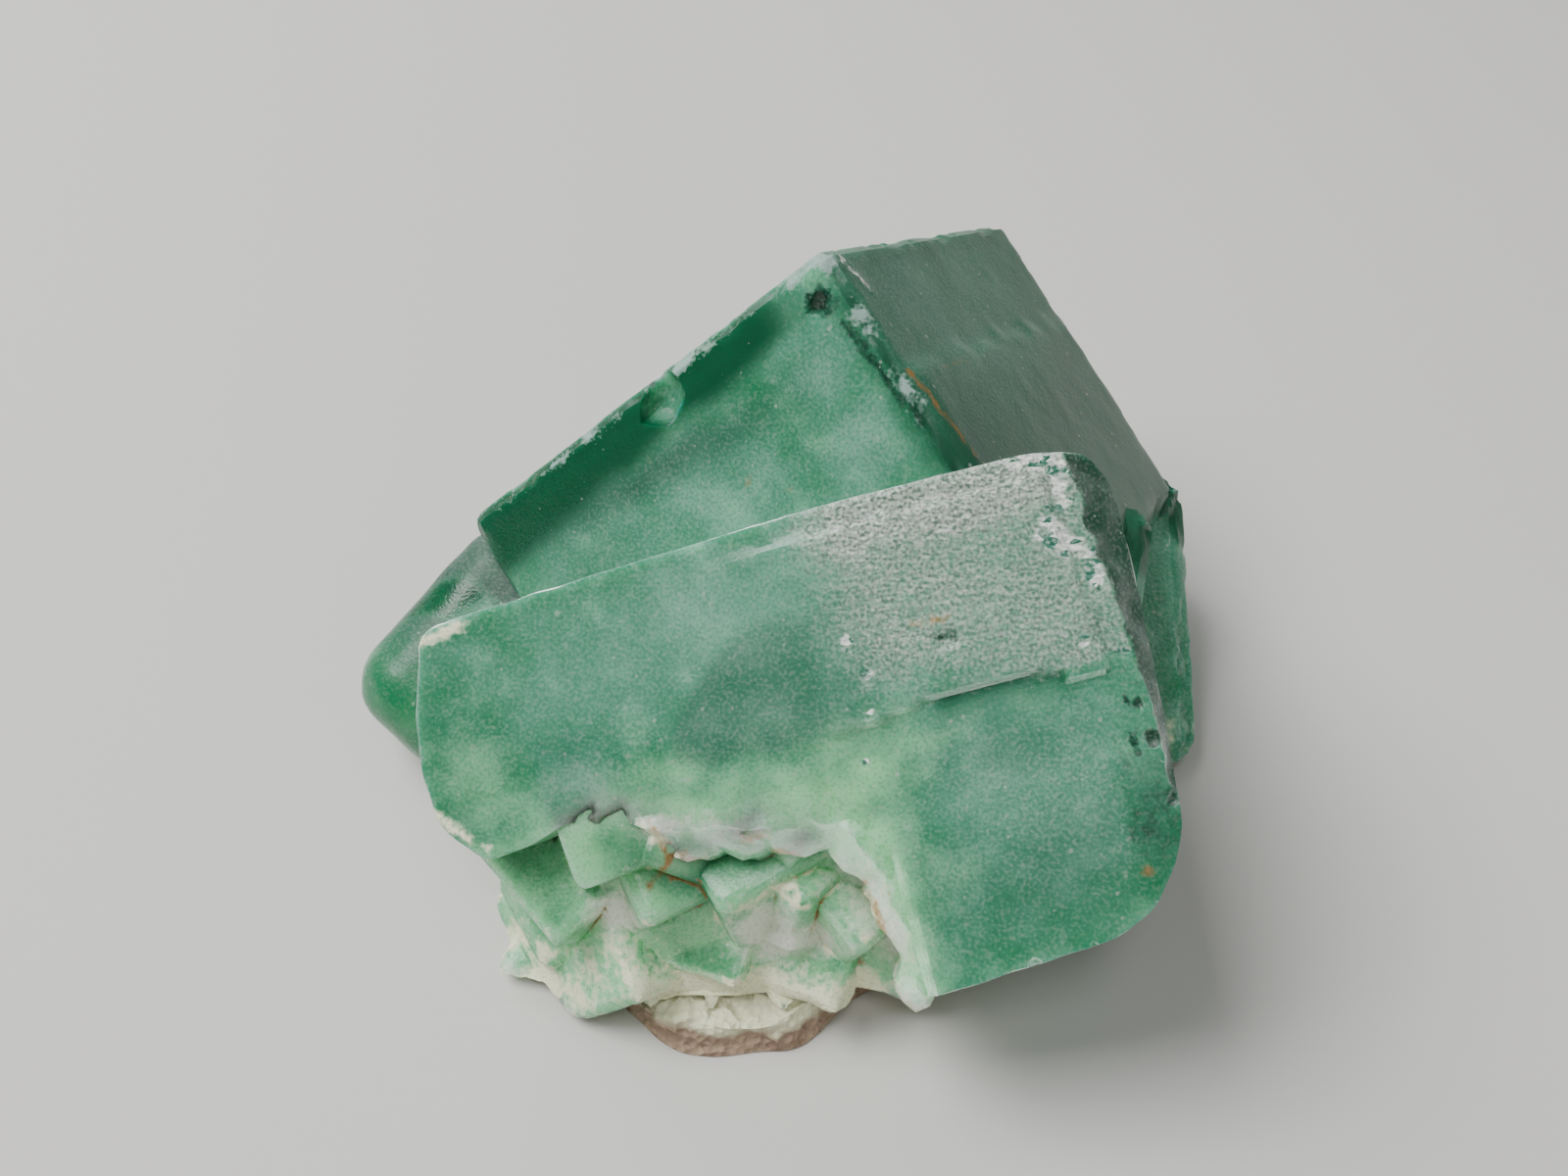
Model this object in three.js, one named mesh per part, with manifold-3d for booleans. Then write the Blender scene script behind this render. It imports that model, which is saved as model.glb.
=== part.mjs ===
// Fluorite crystal cluster: cube crystals grown through each other, on a crust of host rock.
// Millimetres, Z up. The working origin is on the floor under the front foot of the rock, and the
// last step moves the whole model so that its box stands centred on the origin.
// Every crystal is placed by its outer corner: it fills the corner's negative side on its own axes.

import * as THREE from "three";
import { ConvexGeometry } from "three/addons/geometries/ConvexGeometry.js";
import { mergeVertices } from "three/addons/utils/BufferGeometryUtils.js";
import Module from "manifold-3d";

const wasm = await Module();
wasm.setup();

// Driving dimensions

const WELD = 1e-4;
const JOINT_GAP = 0.3;
const HALF = 0.5;

// The tall cube at the back: its top corner, its turn in degrees about its own X, Y and Z, and its edges.
const BACK = {
  corner: [1.7, 23.0, 31.1],
  turn: [59.9, -26.1, 35.7],
  size: [25.3, 19.2, 24.5],
  bevel: 0.55,
};

// The slab in front: the top right corner of its large face, its turn and its thickness.
const SLAB = {
  corner: [12.6, 14.6, 26.2],
  turn: [41.5, -9.6, 14.4],
  thickness: 12.5,
  bevel: 0.35,
};

// Outline of the slab's large face from its top right corner, to the right and up, clockwise from the left.
const SLAB_OUTLINE = [
  [-31.1, -0.5],
  [-30.6, 0.1],
  [-19.8, 0.5],
  [-11.1, 0.7],
  [-2.1, 0.5],
  [0.5, -0.1],
  [1.3, -1.6],
  [1.3, -5.2],
  [0.8, -12.6],
  [0.4, -16.6],
  [-0.2, -18.2],
  [-1.7, -20.1],
  [-3.6, -20.9],
  [-7.0, -21.2],
  [-10.5, -21.5],
  [-12.9, -21.6],
  [-12.4, -19.8],
  [-13.0, -15.6],
  [-14.4, -13.2],
  [-18.4, -12.6],
  [-22.6, -11.5],
  [-26.1, -10.3],
  [-28.0, -10.9],
  [-30.4, -11.1],
  [-31.9, -9.4],
  [-32.5, -6.9],
  [-32.2, -4.1],
];

// Raised growth layers on the slab's large face, in the same measure, and their height.
const LAYER_HEIGHT = 0.3;
const LAYER_ROOT = 0.5;
const UPPER_LAYER = [
  [-16.1, -4.5],
  [-17.0, -0.5],
  [-1.6, -0.5],
  [-1.0, -9.6],
  [-2.8, -9.9],
  [-2.9, -9.1],
  [-6.0, -8.8],
  [-8.7, -9.0],
  [-11.9, -9.4],
  [-15.6, -9.8],
  [-20.4, -8.8],
  [-20.0, -7.5],
  [-18.6, -5.9],
];
const FACE_PIT = { at: [-7.6, -6.5], size: [1.4, 0.9, 0.8] };

// Smaller crystals grown into the two large ones: corner, turn, edges and bevel.
const SIDE_CRYSTALS = {
  left_lobe: { corner: [-15.6, 25.8, 13.6], turn: [35.5, -6.2, 47.6], size: [13.4, 11.0, 7.4], bevel: 1.9 },
  right_flank: { corner: [22.5, 30.2, 11.3], turn: [33.0, 0.5, 0.5], size: [15.0, 16.2, 9.5], bevel: 1.0 },
  left_foot: { corner: [-10.8, 8.5, 7.3], turn: [38.0, -12.0, 28.0], size: [4.6, 6.0, 5.0], bevel: 0.8 },
  core_front: { corner: [9.0, 16.6, 12.4], turn: [28.0, -4.0, 10.0], size: [19.0, 13.0, 11.0], bevel: 0.8 },
  core_right: { corner: [19.6, 23.4, 14.6], turn: [38.0, 6.0, -10.0], size: [18.0, 16.0, 13.0], bevel: 0.8 },
  core_left: { corner: [2.0, 27.0, 13.0], turn: [18.0, -10.0, 24.0], size: [16.0, 18.0, 12.0], bevel: 0.8 },
};

// The broken lower left front: a bed that leans back from the slab's face, placed on the slab's axes, and
// the small cubes that stand out of it by their corners, in rows across it.
const DRUSE_BED = { corner: [-12.9, -11.3, -1.5], tilt: 31, size: [14.0, 15.0, 9.0], bevel: 0.6 };
const DRUSE = {
  rows: 4,
  columns: 4,
  row_step: 3.6,
  column_step: 3.9,
  first_row: 0.25,
  first_column: 0.45,
  stagger: 0.5,
  jitter: 2.0,
  edge: 7.6,
  edge_spread: [0.8, 1.2],
  proud: 2.1,
  proud_spread: [0.6, 1.3],
  spin: 120,
  lean: 36,
};
// The cubes' edges and bevel as shares of their longest edge, and how far under the slab's face they stop.
const DRUSE_CUBE = { edges: [1, 0.92, 0.85], bevel: 0.06 };
const DRUSE_TOP = -0.6;
const DRUSE_REACH = 60;

// Small cubes on the hidden rear: how many, where their rows start and end, and their edges.
const REAR_ROWS = [
  { from: [-14.0, 24.0, 5.5], to: [-5.0, 38.0, 2.8], count: 5, edge: 5.2, seed: 9, turn_seed: 0 },
  { from: [0.5, 39.5, 3.2], to: [15.0, 34.0, 3.6], count: 4, edge: 5.8, seed: 10, turn_seed: 7 },
];
const REAR_CUBE = { edges: [1, 0.9, 1], bevel: 0.3, edge_spread: [0.75, 1.25], turn: 90 };
// Low steps on the faces of the tall cube. On its rear face each field is sunk by its own depth, and runs
// out over the lower corner; its outline is measured to the left and down from the top corner. The right
// face and the underside of the overhang each have one raised layer.
const REAR_STEPS = [
  { depth: 0.4, outline: [[-5.5, 26], [-5.5, 12.5], [-9, 12.5], [-9, 8.6], [-27, 8.6], [-27, 26]] },
  { depth: 0.9, outline: [[-11.8, 26], [-11.8, 18.5], [-14.6, 18.5], [-14.6, 14.2], [-27, 14.2], [-27, 26]] },
];
const OVERHANG_LAYER = { height: 0.5, from_left: 5.0, from_top: 3.4, size: [13.0, 9.5] };
const FLANK_LAYER = { height: 0.35, from_ridge: 1.3, from_top: 6.8, size: [22.4, 11.6] };

// Chips knocked out of edges: crystal, edge ends on its axes, how many, and their size.
const CHIPS = [
  { of: "back", from: [-3.0, 0, 0], to: [-24.0, 0, 0], count: 9, size: 0.8 },
  { of: "back", from: [0, -1.5, 0], to: [0, -12.0, 0], count: 6, size: 0.65 },
  { of: "back", from: [0, 0, -3.0], to: [0, 0, -22.0], count: 5, size: 0.8 },
  { of: "slab", from: [-1.0, -1.2, 0], to: [-0.9, -16.0, 0], count: 9, size: 0.85 },
  { of: "slab", from: [-29.0, 0.4, 0], to: [-3.0, 0.8, 0], count: 8, size: 0.5 },
  { of: "slab", from: [-11.0, -21.7, 0], to: [-3.0, -21.1, 0], count: 5, size: 0.6 },
];
const A_EDGE_CHIP = { at: [-11.6, -1.0, 0.7], radius: 1.5, seed: 72 };
// A chip is stretched by shares of its radius and sunk beside its edge; each row's seeds lie this far apart.
const CHIP_STRETCH = [0.7, 1.4];
const CHIP_SIZE_SPREAD = [0.6, 1.3];
const CHIP_PLACE_SPREAD = [0.2, 0.8];
const CHIP_OFFSET = 0.35;
const CHIP_SEED_STEP = 31;
// The worn right edge of the slab: how far in and how far back it is cut, at its top and at its foot.
const WORN_EDGE = { top: [2.3, 1.9], foot: [1.4, 1.3], from: 1.0, to: -18.6, outside: 1.4, overrun: 1 };

// The host rock: its footprint on the floor, its height before the crystals are set in, and its roughness.
const ROCK_OUTLINE = [
  [-2.7, 0.1],
  [-5.4, 0.6],
  [-8.4, 3.0],
  [-9.0, 7.6],
  [-12.4, 10.8],
  [-11.0, 16.5],
  [-12.0, 22.4],
  [-7.6, 27.0],
  [-5.4, 32.0],
  [2.0, 31.6],
  [7.4, 34.2],
  [12.6, 29.6],
  [17.6, 26.2],
  [15.6, 19.6],
  [17.4, 14.2],
  [12.2, 9.8],
  [8.6, 5.0],
  [3.4, 3.2],
  [0.6, 0.6],
];
const ROCK_HEIGHT = 6.5;
const ROCK_STEPS = 6;
const ROCK_SPLINE_PARTS = 3;
const ROCK_ROUGHNESS = 0.022;
const ROCK_LEAN = 0.045;
// Slow waves in the rock's sides: how fast each runs along X, Y and Z, in radians per millimetre.
const ROCK_WAVES = [
  [1.1, 0, 1.3],
  [0, 1.3, -1.7],
  [0.8, 0.8, 2.2],
];

// The uneven surface on which the crystals grew: a low dome with ripples, over the whole underside.
const SEAT = {
  centre: [2.0, 17.0],
  reach: [12.0, 19.5],
  rim_height: 0.8,
  rise: 2.6,
  ripple: 0.28,
  span: 64,
  cells: 26,
  depth: 20,
};
// The ripples in radians per millimetre: along X, swayed by Y, and along Y, swayed by X.
const RIPPLES = { x: 1.1, sway: 0.7, sway_y: 0.8, y: 0.9, y_by_x: 0.4 };

// Solids from geometries, and back

function solidOf(geometry) {
  const bare = geometry.index ? geometry.toNonIndexed() : geometry.clone();
  bare.deleteAttribute("normal");
  bare.deleteAttribute("uv");
  const merged = mergeVertices(bare, WELD);
  return new wasm.Manifold(
    new wasm.Mesh({
      numProp: 3,
      vertProperties: merged.getAttribute("position").array,
      triVerts: new Uint32Array(merged.index.array),
    }),
  );
}

function geometryOf(solid) {
  const mesh = solid.getMesh();
  const geometry = new THREE.BufferGeometry();
  geometry.setAttribute("position", new THREE.BufferAttribute(mesh.vertProperties, 3));
  geometry.setIndex(new THREE.BufferAttribute(mesh.triVerts, 1));
  geometry.computeVertexNormals();
  return geometry;
}

// A repeatable number from 0 to 1 for a pair of whole numbers.
function chance(a, b) {
  const wave = Math.sin(a * 12.9898 + b * 78.233) * 43758.5453;
  return wave - Math.floor(wave);
}

// A repeatable number between two ends.
function between([low, high], a, b) {
  return low + (high - low) * chance(a, b);
}

// The matrix that carries a crystal's own axes to its corner.
function placeOf({ corner, turn }) {
  const euler = new THREE.Euler(...turn.map(THREE.MathUtils.degToRad), "XYZ");
  return new THREE.Matrix4().makeRotationFromEuler(euler).setPosition(...corner);
}

// A cube crystal with all its edges bevelled, its outer corner at the origin.
function bevelledCube([x, y, z], bevel) {
  const points = [];
  for (const sx of [-1, 1]) {
    for (const sy of [-1, 1]) {
      for (const sz of [-1, 1]) {
        const half = new THREE.Vector3((sx * x) / 2, (sy * y) / 2, (sz * z) / 2);
        for (const kept of ["x", "y", "z"]) {
          const point = half.clone().sub(new THREE.Vector3(sx, sy, sz).multiplyScalar(bevel));
          point[kept] = half[kept];
          points.push(point);
        }
      }
    }
  }
  return new ConvexGeometry(points).translate(-x / 2, -y / 2, -z / 2);
}

// A flat layer of a drawn outline, from just under a face to its own height over it.
function layer(outline, height, root) {
  const shape = new THREE.Shape(outline.map(([x, y]) => new THREE.Vector2(x, y)));
  const geometry = new THREE.ExtrudeGeometry(shape, { depth: height + root, bevelEnabled: false });
  return geometry.translate(0, 0, -root);
}

function rectangle(x, y, width, height) {
  return [
    [x, y],
    [x, y + height],
    [x + width, y + height],
    [x + width, y],
  ];
}

// The slab: its outline carried back from the large face, with a bevel all round.
function slabGeometry() {
  const shape = new THREE.Shape(SLAB_OUTLINE.map(([x, y]) => new THREE.Vector2(x, y)));
  const geometry = new THREE.ExtrudeGeometry(shape, {
    depth: SLAB.thickness - 2 * SLAB.bevel,
    bevelEnabled: true,
    bevelThickness: SLAB.bevel,
    bevelSize: SLAB.bevel,
    bevelOffset: -SLAB.bevel,
    bevelSegments: 1,
  });
  return geometry.translate(0, 0, SLAB.bevel - SLAB.thickness);
}

// A many-sided bite, taken out of an edge or a corner.
function bite(at, radius, seed) {
  const stretch = [0, 1, 2].map((axis) => between(CHIP_STRETCH, seed, axis));
  const turn = [3, 4, 5].map((axis) => chance(seed, axis) * Math.PI);
  return new THREE.IcosahedronGeometry(radius, 0)
    .scale(...stretch)
    .applyMatrix4(new THREE.Matrix4().makeRotationFromEuler(new THREE.Euler(...turn)))
    .translate(...at);
}

// Bites along an edge, each a little to one side of it and partly sunk in it.
function biteRow({ from, to, count, size }, seed) {
  const start = new THREE.Vector3(...from);
  const end = new THREE.Vector3(...to);
  return Array.from({ length: count }, (_, i) => {
    const along = (i + between(CHIP_PLACE_SPREAD, seed, i)) / count;
    const radius = size * between(CHIP_SIZE_SPREAD, i, seed + 1);
    const at = start.clone().lerp(end, along).addScalar(CHIP_OFFSET * radius);
    return bite(at.toArray(), radius, seed * CHIP_SEED_STEP + i);
  });
}

// The long wedge that is worn off the slab's right edge, wider at the top than at the foot.
function wornEdge() {
  const points = [];
  for (const [y, [inward, back]] of [
    [WORN_EDGE.from, WORN_EDGE.top],
    [WORN_EDGE.to, WORN_EDGE.foot],
  ]) {
    const { outside: right, overrun } = WORN_EDGE;
    const rise = (overrun * back) / inward;
    points.push(new THREE.Vector3(right - inward - overrun, y, rise));
    points.push(new THREE.Vector3(right + overrun, y, -back - rise));
    points.push(new THREE.Vector3(right + overrun, y, rise));
  }
  return new ConvexGeometry(points);
}

// A small cube whose corner, not its face, stands outward along +Z.
function cornerCube(edge, spin) {
  const cube = bevelledCube(DRUSE_CUBE.edges.map((share) => edge * share), edge * DRUSE_CUBE.bevel);
  const onCorner = new THREE.Quaternion().setFromUnitVectors(
    new THREE.Vector3(1, 1, 1).normalize(),
    new THREE.Vector3(0, 0, 1),
  );
  return cube.applyQuaternion(onCorner).rotateZ(THREE.MathUtils.degToRad(spin));
}

// The cubes of the broken front, on the axes of its bed: staggered rows, each cube moved, spun and leant by
// chance.
function druseCubes() {
  const cubes = [];
  for (let row = 0; row < DRUSE.rows; row += 1) {
    for (let column = 0; column < DRUSE.columns; column += 1) {
      const seed = row * DRUSE.columns + column;
      const drift = [0, 1].map((axis) => DRUSE.jitter * (chance(seed, axis) - HALF));
      const x = -(column + DRUSE.first_column + DRUSE.stagger * (row % 2)) * DRUSE.column_step + drift[0];
      const y = -(row + DRUSE.first_row) * DRUSE.row_step + drift[1];
      const edge = DRUSE.edge * between(DRUSE.edge_spread, seed, 2);
      const proud = DRUSE.proud * between(DRUSE.proud_spread, seed, 3);
      const spin = DRUSE.spin * (chance(seed, 4) - HALF);
      const turn = [5, 6, 7].map((axis) => DRUSE.lean * (chance(seed, axis) - HALF));
      cubes.push(cornerCube(edge, spin).applyMatrix4(placeOf({ corner: [x, y, proud], turn })));
    }
  }
  return cubes;
}

// Height of the growth surface over the floor.
function seatHeight(x, y) {
  const u = (x - SEAT.centre[0]) / SEAT.reach[0];
  const v = (y - SEAT.centre[1]) / SEAT.reach[1];
  const dome = SEAT.rise * Math.exp(-((u * u + v * v) ** 2));
  const swayed = x * RIPPLES.x + RIPPLES.sway * Math.sin(y * RIPPLES.sway_y);
  const ripples = Math.sin(swayed) * Math.cos(y * RIPPLES.y + x * RIPPLES.y_by_x);
  return SEAT.rim_height + dome + SEAT.ripple * ripples;
}

// Everything under the growth surface, lowered by a drop.
function underSeat(drop) {
  const { span, cells, depth } = SEAT;
  const block = new THREE.BoxGeometry(span, span, depth, cells, cells, 1);
  block.translate(SEAT.centre[0], SEAT.centre[1], -depth / 2);
  const position = block.getAttribute("position");
  for (let i = 0; i < position.count; i += 1) {
    if (position.getZ(i) > -depth / 2) {
      position.setZ(i, seatHeight(position.getX(i), position.getY(i)) - drop);
    }
  }
  return block;
}

// The rock's sides lean and wander: each point is pushed out or in by slow waves.
function rockGeometry() {
  const points = ROCK_OUTLINE.map(([x, y]) => new THREE.Vector2(x, y));
  const shape = new THREE.Shape();
  shape.moveTo(points[0].x, points[0].y);
  shape.splineThru([...points.slice(1), points[0]]);
  const geometry = new THREE.ExtrudeGeometry(shape, {
    depth: ROCK_HEIGHT,
    steps: ROCK_STEPS,
    curveSegments: ROCK_SPLINE_PARTS,
    bevelEnabled: false,
  });
  const position = geometry.getAttribute("position");
  for (let i = 0; i < position.count; i += 1) {
    const [x, y, z] = [position.getX(i), position.getY(i), position.getZ(i)];
    const wave = ROCK_WAVES.reduce((sum, [a, b, c]) => sum + Math.sin(a * x + b * y + c * z), 0);
    const lean = 1 - ROCK_LEAN * (z / ROCK_HEIGHT) + ROCK_ROUGHNESS * wave;
    position.setX(i, SEAT.centre[0] + (x - SEAT.centre[0]) * lean);
    position.setY(i, SEAT.centre[1] + (y - SEAT.centre[1]) * lean);
  }
  return geometry;
}

// The crystals, joined in one solid

function crystalSolid() {
  const places = { back: placeOf(BACK), slab: placeOf(SLAB) };
  const joined = [];
  const cut = [];
  const on = (place, geometry) => solidOf(geometry.applyMatrix4(place));

  joined.push(on(places.back, bevelledCube(BACK.size, BACK.bevel)));
  joined.push(on(places.slab, slabGeometry()));
  joined.push(on(places.slab, layer(UPPER_LAYER, LAYER_HEIGHT, LAYER_ROOT)));
  for (const crystal of Object.values(SIDE_CRYSTALS)) {
    joined.push(on(placeOf(crystal), bevelledCube(crystal.size, crystal.bevel)));
  }

  const bed = places.slab.clone().multiply(placeOf({ corner: DRUSE_BED.corner, turn: [DRUSE_BED.tilt, 0, 0] }));
  joined.push(on(bed, bevelledCube(DRUSE_BED.size, DRUSE_BED.bevel)));
  const reach = new THREE.BoxGeometry(DRUSE_REACH, DRUSE_REACH, DRUSE_REACH);
  const underFace = on(places.slab, reach.translate(0, 0, DRUSE_TOP - DRUSE_REACH / 2));
  for (const cube of druseCubes()) {
    joined.push(on(bed, cube).intersect(underFace));
  }

  for (const { from, to, count, edge, seed, turn_seed } of REAR_ROWS) {
    for (let i = 0; i < count; i += 1) {
      const corner = new THREE.Vector3(...from).lerp(new THREE.Vector3(...to), i / (count - 1));
      const size = edge * between(REAR_CUBE.edge_spread, i, seed);
      const turn = [2, 3, 4].map((axis) => REAR_CUBE.turn * chance(i + turn_seed, axis));
      const cube = bevelledCube(REAR_CUBE.edges.map((share) => size * share), REAR_CUBE.bevel);
      cube.translate(size / 2, size / 2, size / 2);
      joined.push(on(placeOf({ corner: corner.toArray(), turn }), cube));
    }
  }

  const toRearFace = new THREE.Matrix4().makeRotationX(-Math.PI / 2);
  for (const { depth, outline } of REAR_STEPS) {
    cut.push(on(places.back, layer(outline, 1, depth).applyMatrix4(toRearFace)));
  }

  const toOverhang = new THREE.Matrix4().makeRotationX(Math.PI).setPosition(-BACK.size[0], 0, -BACK.size[2]);
  const overhang = rectangle(OVERHANG_LAYER.from_left, OVERHANG_LAYER.from_top, ...OVERHANG_LAYER.size);
  const overhangLayer = layer(overhang, OVERHANG_LAYER.height, LAYER_ROOT).applyMatrix4(toOverhang);
  joined.push(on(places.back, overhangLayer));

  const toRightFace = new THREE.Matrix4().makeRotationY(Math.PI / 2);
  const flank = rectangle(
    FLANK_LAYER.from_ridge,
    -FLANK_LAYER.from_top - FLANK_LAYER.size[1],
    FLANK_LAYER.size[0],
    FLANK_LAYER.size[1],
  );
  const flankLayer = layer(flank, FLANK_LAYER.height, LAYER_ROOT).applyMatrix4(toRightFace);
  joined.push(on(places.back, flankLayer));

  CHIPS.forEach((row, i) => {
    for (const geometry of biteRow(row, i + 1)) {
      cut.push(on(places[row.of], geometry));
    }
  });
  cut.push(on(places.slab, wornEdge()));
  cut.push(on(places.back, bite(A_EDGE_CHIP.at, A_EDGE_CHIP.radius, A_EDGE_CHIP.seed)));
  const [pitX, pitY] = FACE_PIT.at;
  cut.push(on(places.slab, new THREE.BoxGeometry(...FACE_PIT.size).translate(pitX, pitY, LAYER_HEIGHT)));
  cut.push(solidOf(underSeat(0)));

  const whole = joined.reduce((sum, solid) => sum.add(solid));
  const left = cut.reduce((sum, solid) => sum.subtract(solid), whole);
  return left.decompose().sort((a, b) => b.volume() - a.volume())[0];
}

// The rock, flat below and following the crystals' underside above

function rockSolid() {
  return solidOf(rockGeometry()).intersect(solidOf(underSeat(JOINT_GAP)));
}

function nodeMesh(name, solid, material) {
  const mesh = new THREE.Mesh(geometryOf(solid), material);
  mesh.name = name;
  return mesh;
}

const fluorite = new THREE.MeshStandardMaterial({ color: 0x4f9c80, roughness: 0.35, metalness: 0 });
const hostRock = new THREE.MeshStandardMaterial({ color: 0xb9a79c, roughness: 0.95, metalness: 0 });

const cluster = new THREE.Group();
cluster.add(nodeMesh("fluorite_crystals", crystalSolid(), fluorite));
cluster.add(nodeMesh("matrix_rock", rockSolid(), hostRock));

const box = new THREE.Box3().setFromObject(cluster, true);
const middle = box.getCenter(new THREE.Vector3());
cluster.position.set(-middle.x, -middle.y, -box.min.z);
cluster.userData.shift = cluster.position.toArray();

export default cluster;
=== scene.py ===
"""A fluorite crystal cluster on a crust of host rock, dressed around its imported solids.

The shapes are worked out in millimetres on the working axes, whose origin is the floor under the front
foot of the rock. ORIGIN_SHIFT and MM carry them to the frame when a mesh is made.
"""

import itertools
import math

import bpy
import numpy as np
from bpy.props import FloatProperty, FloatVectorProperty, PointerProperty
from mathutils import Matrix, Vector


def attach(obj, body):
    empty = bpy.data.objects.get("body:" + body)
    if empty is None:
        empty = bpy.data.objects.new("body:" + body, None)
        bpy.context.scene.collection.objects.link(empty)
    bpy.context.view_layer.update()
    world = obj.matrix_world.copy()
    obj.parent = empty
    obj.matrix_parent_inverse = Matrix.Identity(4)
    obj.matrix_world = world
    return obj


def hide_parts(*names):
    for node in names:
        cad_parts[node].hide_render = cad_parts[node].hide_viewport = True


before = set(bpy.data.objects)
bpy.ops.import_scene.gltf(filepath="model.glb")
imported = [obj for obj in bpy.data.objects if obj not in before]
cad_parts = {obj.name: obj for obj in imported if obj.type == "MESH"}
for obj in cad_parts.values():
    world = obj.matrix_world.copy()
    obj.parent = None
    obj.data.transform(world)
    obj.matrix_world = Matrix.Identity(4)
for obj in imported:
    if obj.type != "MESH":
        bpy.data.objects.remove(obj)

bl_info = {
    "name": "Fluorite crystal cluster",
    "version": (1, 0, 0),
    "blender": (4, 5, 0),
    "location": "View3D > Sidebar > Fluorite",
    "description": "Grows a green fluorite cluster on its crust of host rock and lights it",
    "category": "Add Mesh",
}

MM = 0.001
ORIGIN_SHIFT = np.array([0.240, -21.086, 0.0])

# How deep etching has eaten into the crystals' faces
ETCH_DEPTH = 0.015

# Edges that turn by more degrees than this look sharp
SHARP_ANGLE = 24

# Distance between the points of the crystals' faces, and of the surface that they grew on
MESH_STEP = {"tall": 0.32, "lobe": 0.35, "druse": 0.4, "side": 0.45, "seat": 0.7}

# The crystals: outer corner, turn in degrees about their own X, Y and Z, and edges where no slider gives them
TALL = {"corner": (1.7, 23.0, 31.1), "turn": (59.9, -26.1, 35.7)}
SLAB = {"corner": (12.6, 14.6, 26.2), "turn": (41.5, -9.6, 14.4)}
LEFT_LOBE = {"corner": (-15.6, 25.8, 13.6), "turn": (35.5, -6.2, 47.6), "size": (13.4, 11.0, 7.4)}
SIDE_CRYSTALS = [
    {"corner": (22.5, 30.2, 11.3), "turn": (33.0, 0.5, 0.5), "size": (15.0, 16.2, 9.5), "bevel": 1.0},
    {"corner": (-10.8, 8.5, 7.3), "turn": (38.0, -12.0, 28.0), "size": (4.6, 6.0, 5.0), "bevel": 0.8},
    {"corner": (9.0, 16.6, 12.4), "turn": (28.0, -4.0, 10.0), "size": (19.0, 13.0, 11.0), "bevel": 0.8},
    {"corner": (19.6, 23.4, 14.6), "turn": (38.0, 6.0, -10.0), "size": (18.0, 16.0, 13.0), "bevel": 0.8},
    {"corner": (2.0, 27.0, 13.0), "turn": (18.0, -10.0, 24.0), "size": (16.0, 18.0, 12.0), "bevel": 0.8},
]

# Outline of the slab's large face from its top right corner, to the right and up
SLAB_OUTLINE = [
    (-31.1, -0.5), (-30.6, 0.1), (-19.8, 0.5), (-11.1, 0.7), (-2.1, 0.5), (0.5, -0.1), (1.3, -1.6),
    (1.3, -5.2), (0.8, -12.6), (0.4, -16.6), (-0.2, -18.2), (-1.7, -20.1), (-3.6, -20.9), (-7.0, -21.2),
    (-10.5, -21.5), (-12.9, -21.6), (-12.4, -19.8), (-13.0, -15.6), (-14.4, -13.2), (-18.4, -12.6),
    (-22.6, -11.5), (-26.1, -10.3), (-28.0, -10.9), (-30.4, -11.1), (-31.9, -9.4), (-32.5, -6.9),
    (-32.2, -4.1),
]

# Raised growth layer of the slab's large face, its dark inner patch and its square pit, in the same measure
UPPER_LAYER = [
    (-16.1, -4.5), (-17.0, -0.5), (-1.6, -0.5), (-1.0, -9.6), (-2.8, -9.9), (-2.9, -9.1), (-6.0, -8.8),
    (-8.7, -9.0), (-11.9, -9.4), (-15.6, -9.8), (-20.4, -8.8), (-20.0, -7.5), (-18.6, -5.9),
]
DARK_PATCH = [
    (-15.6, -3.6), (-17.6, -4.9), (-19.4, -6.4), (-20.6, -8.0), (-20.6, -8.9), (-15.6, -9.8),
    (-11.0, -9.4), (-8.0, -9.0), (-8.0, -3.6),
]
FACE_PIT = {"at": (-7.5, -6.5), "size": (1.0, 0.8), "depth": 0.15}

# The sheet from which the outline cuts the slab: its size, how far it reaches beyond the corner, and its mesh
SLAB_SHEET = {"size": (35.5, 24.0), "beyond": (2.4, 1.8), "step": 0.26}

# Rows of the slab's side walls, closer together towards the worn edge of the large face
WALL_LEVELS = [
    *np.arange(-13.5, -3.3, 0.6), -2.8, -2.4, -2.0, -1.6, -1.3, -1.05, -0.85, -0.65, -0.5, -0.35, -0.2,
    -0.05, 0.1, 0.25, 0.45,
]

# The band worn off the slab's right edge: how far it reaches in over the face and back down the side wall,
# at its top and its foot, and the cutter's own size
WORN_EDGE = {
    "top": (2.3, 1.9), "foot": (1.4, 1.3), "from": 1.0, "to": -18.6, "outside": 1.4,
    "cutter": (21.6, 5.0, 3.0), "step": 0.24,
}

# The broken lower left front, on the slab's axes, and the rows of its cubes
DRUSE_BED = {"corner": (-12.9, -11.3, -1.5), "turn": (31.0, 0, 0), "size": (14.0, 15.0, 9.0), "bevel": 0.6}
DRUSE = {
    "rows": 4, "columns": 4, "row_step": 3.6, "column_step": 3.9, "proud": 2.1, "jitter": 2.0, "lean": 36,
    "top": -0.6,
}

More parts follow.
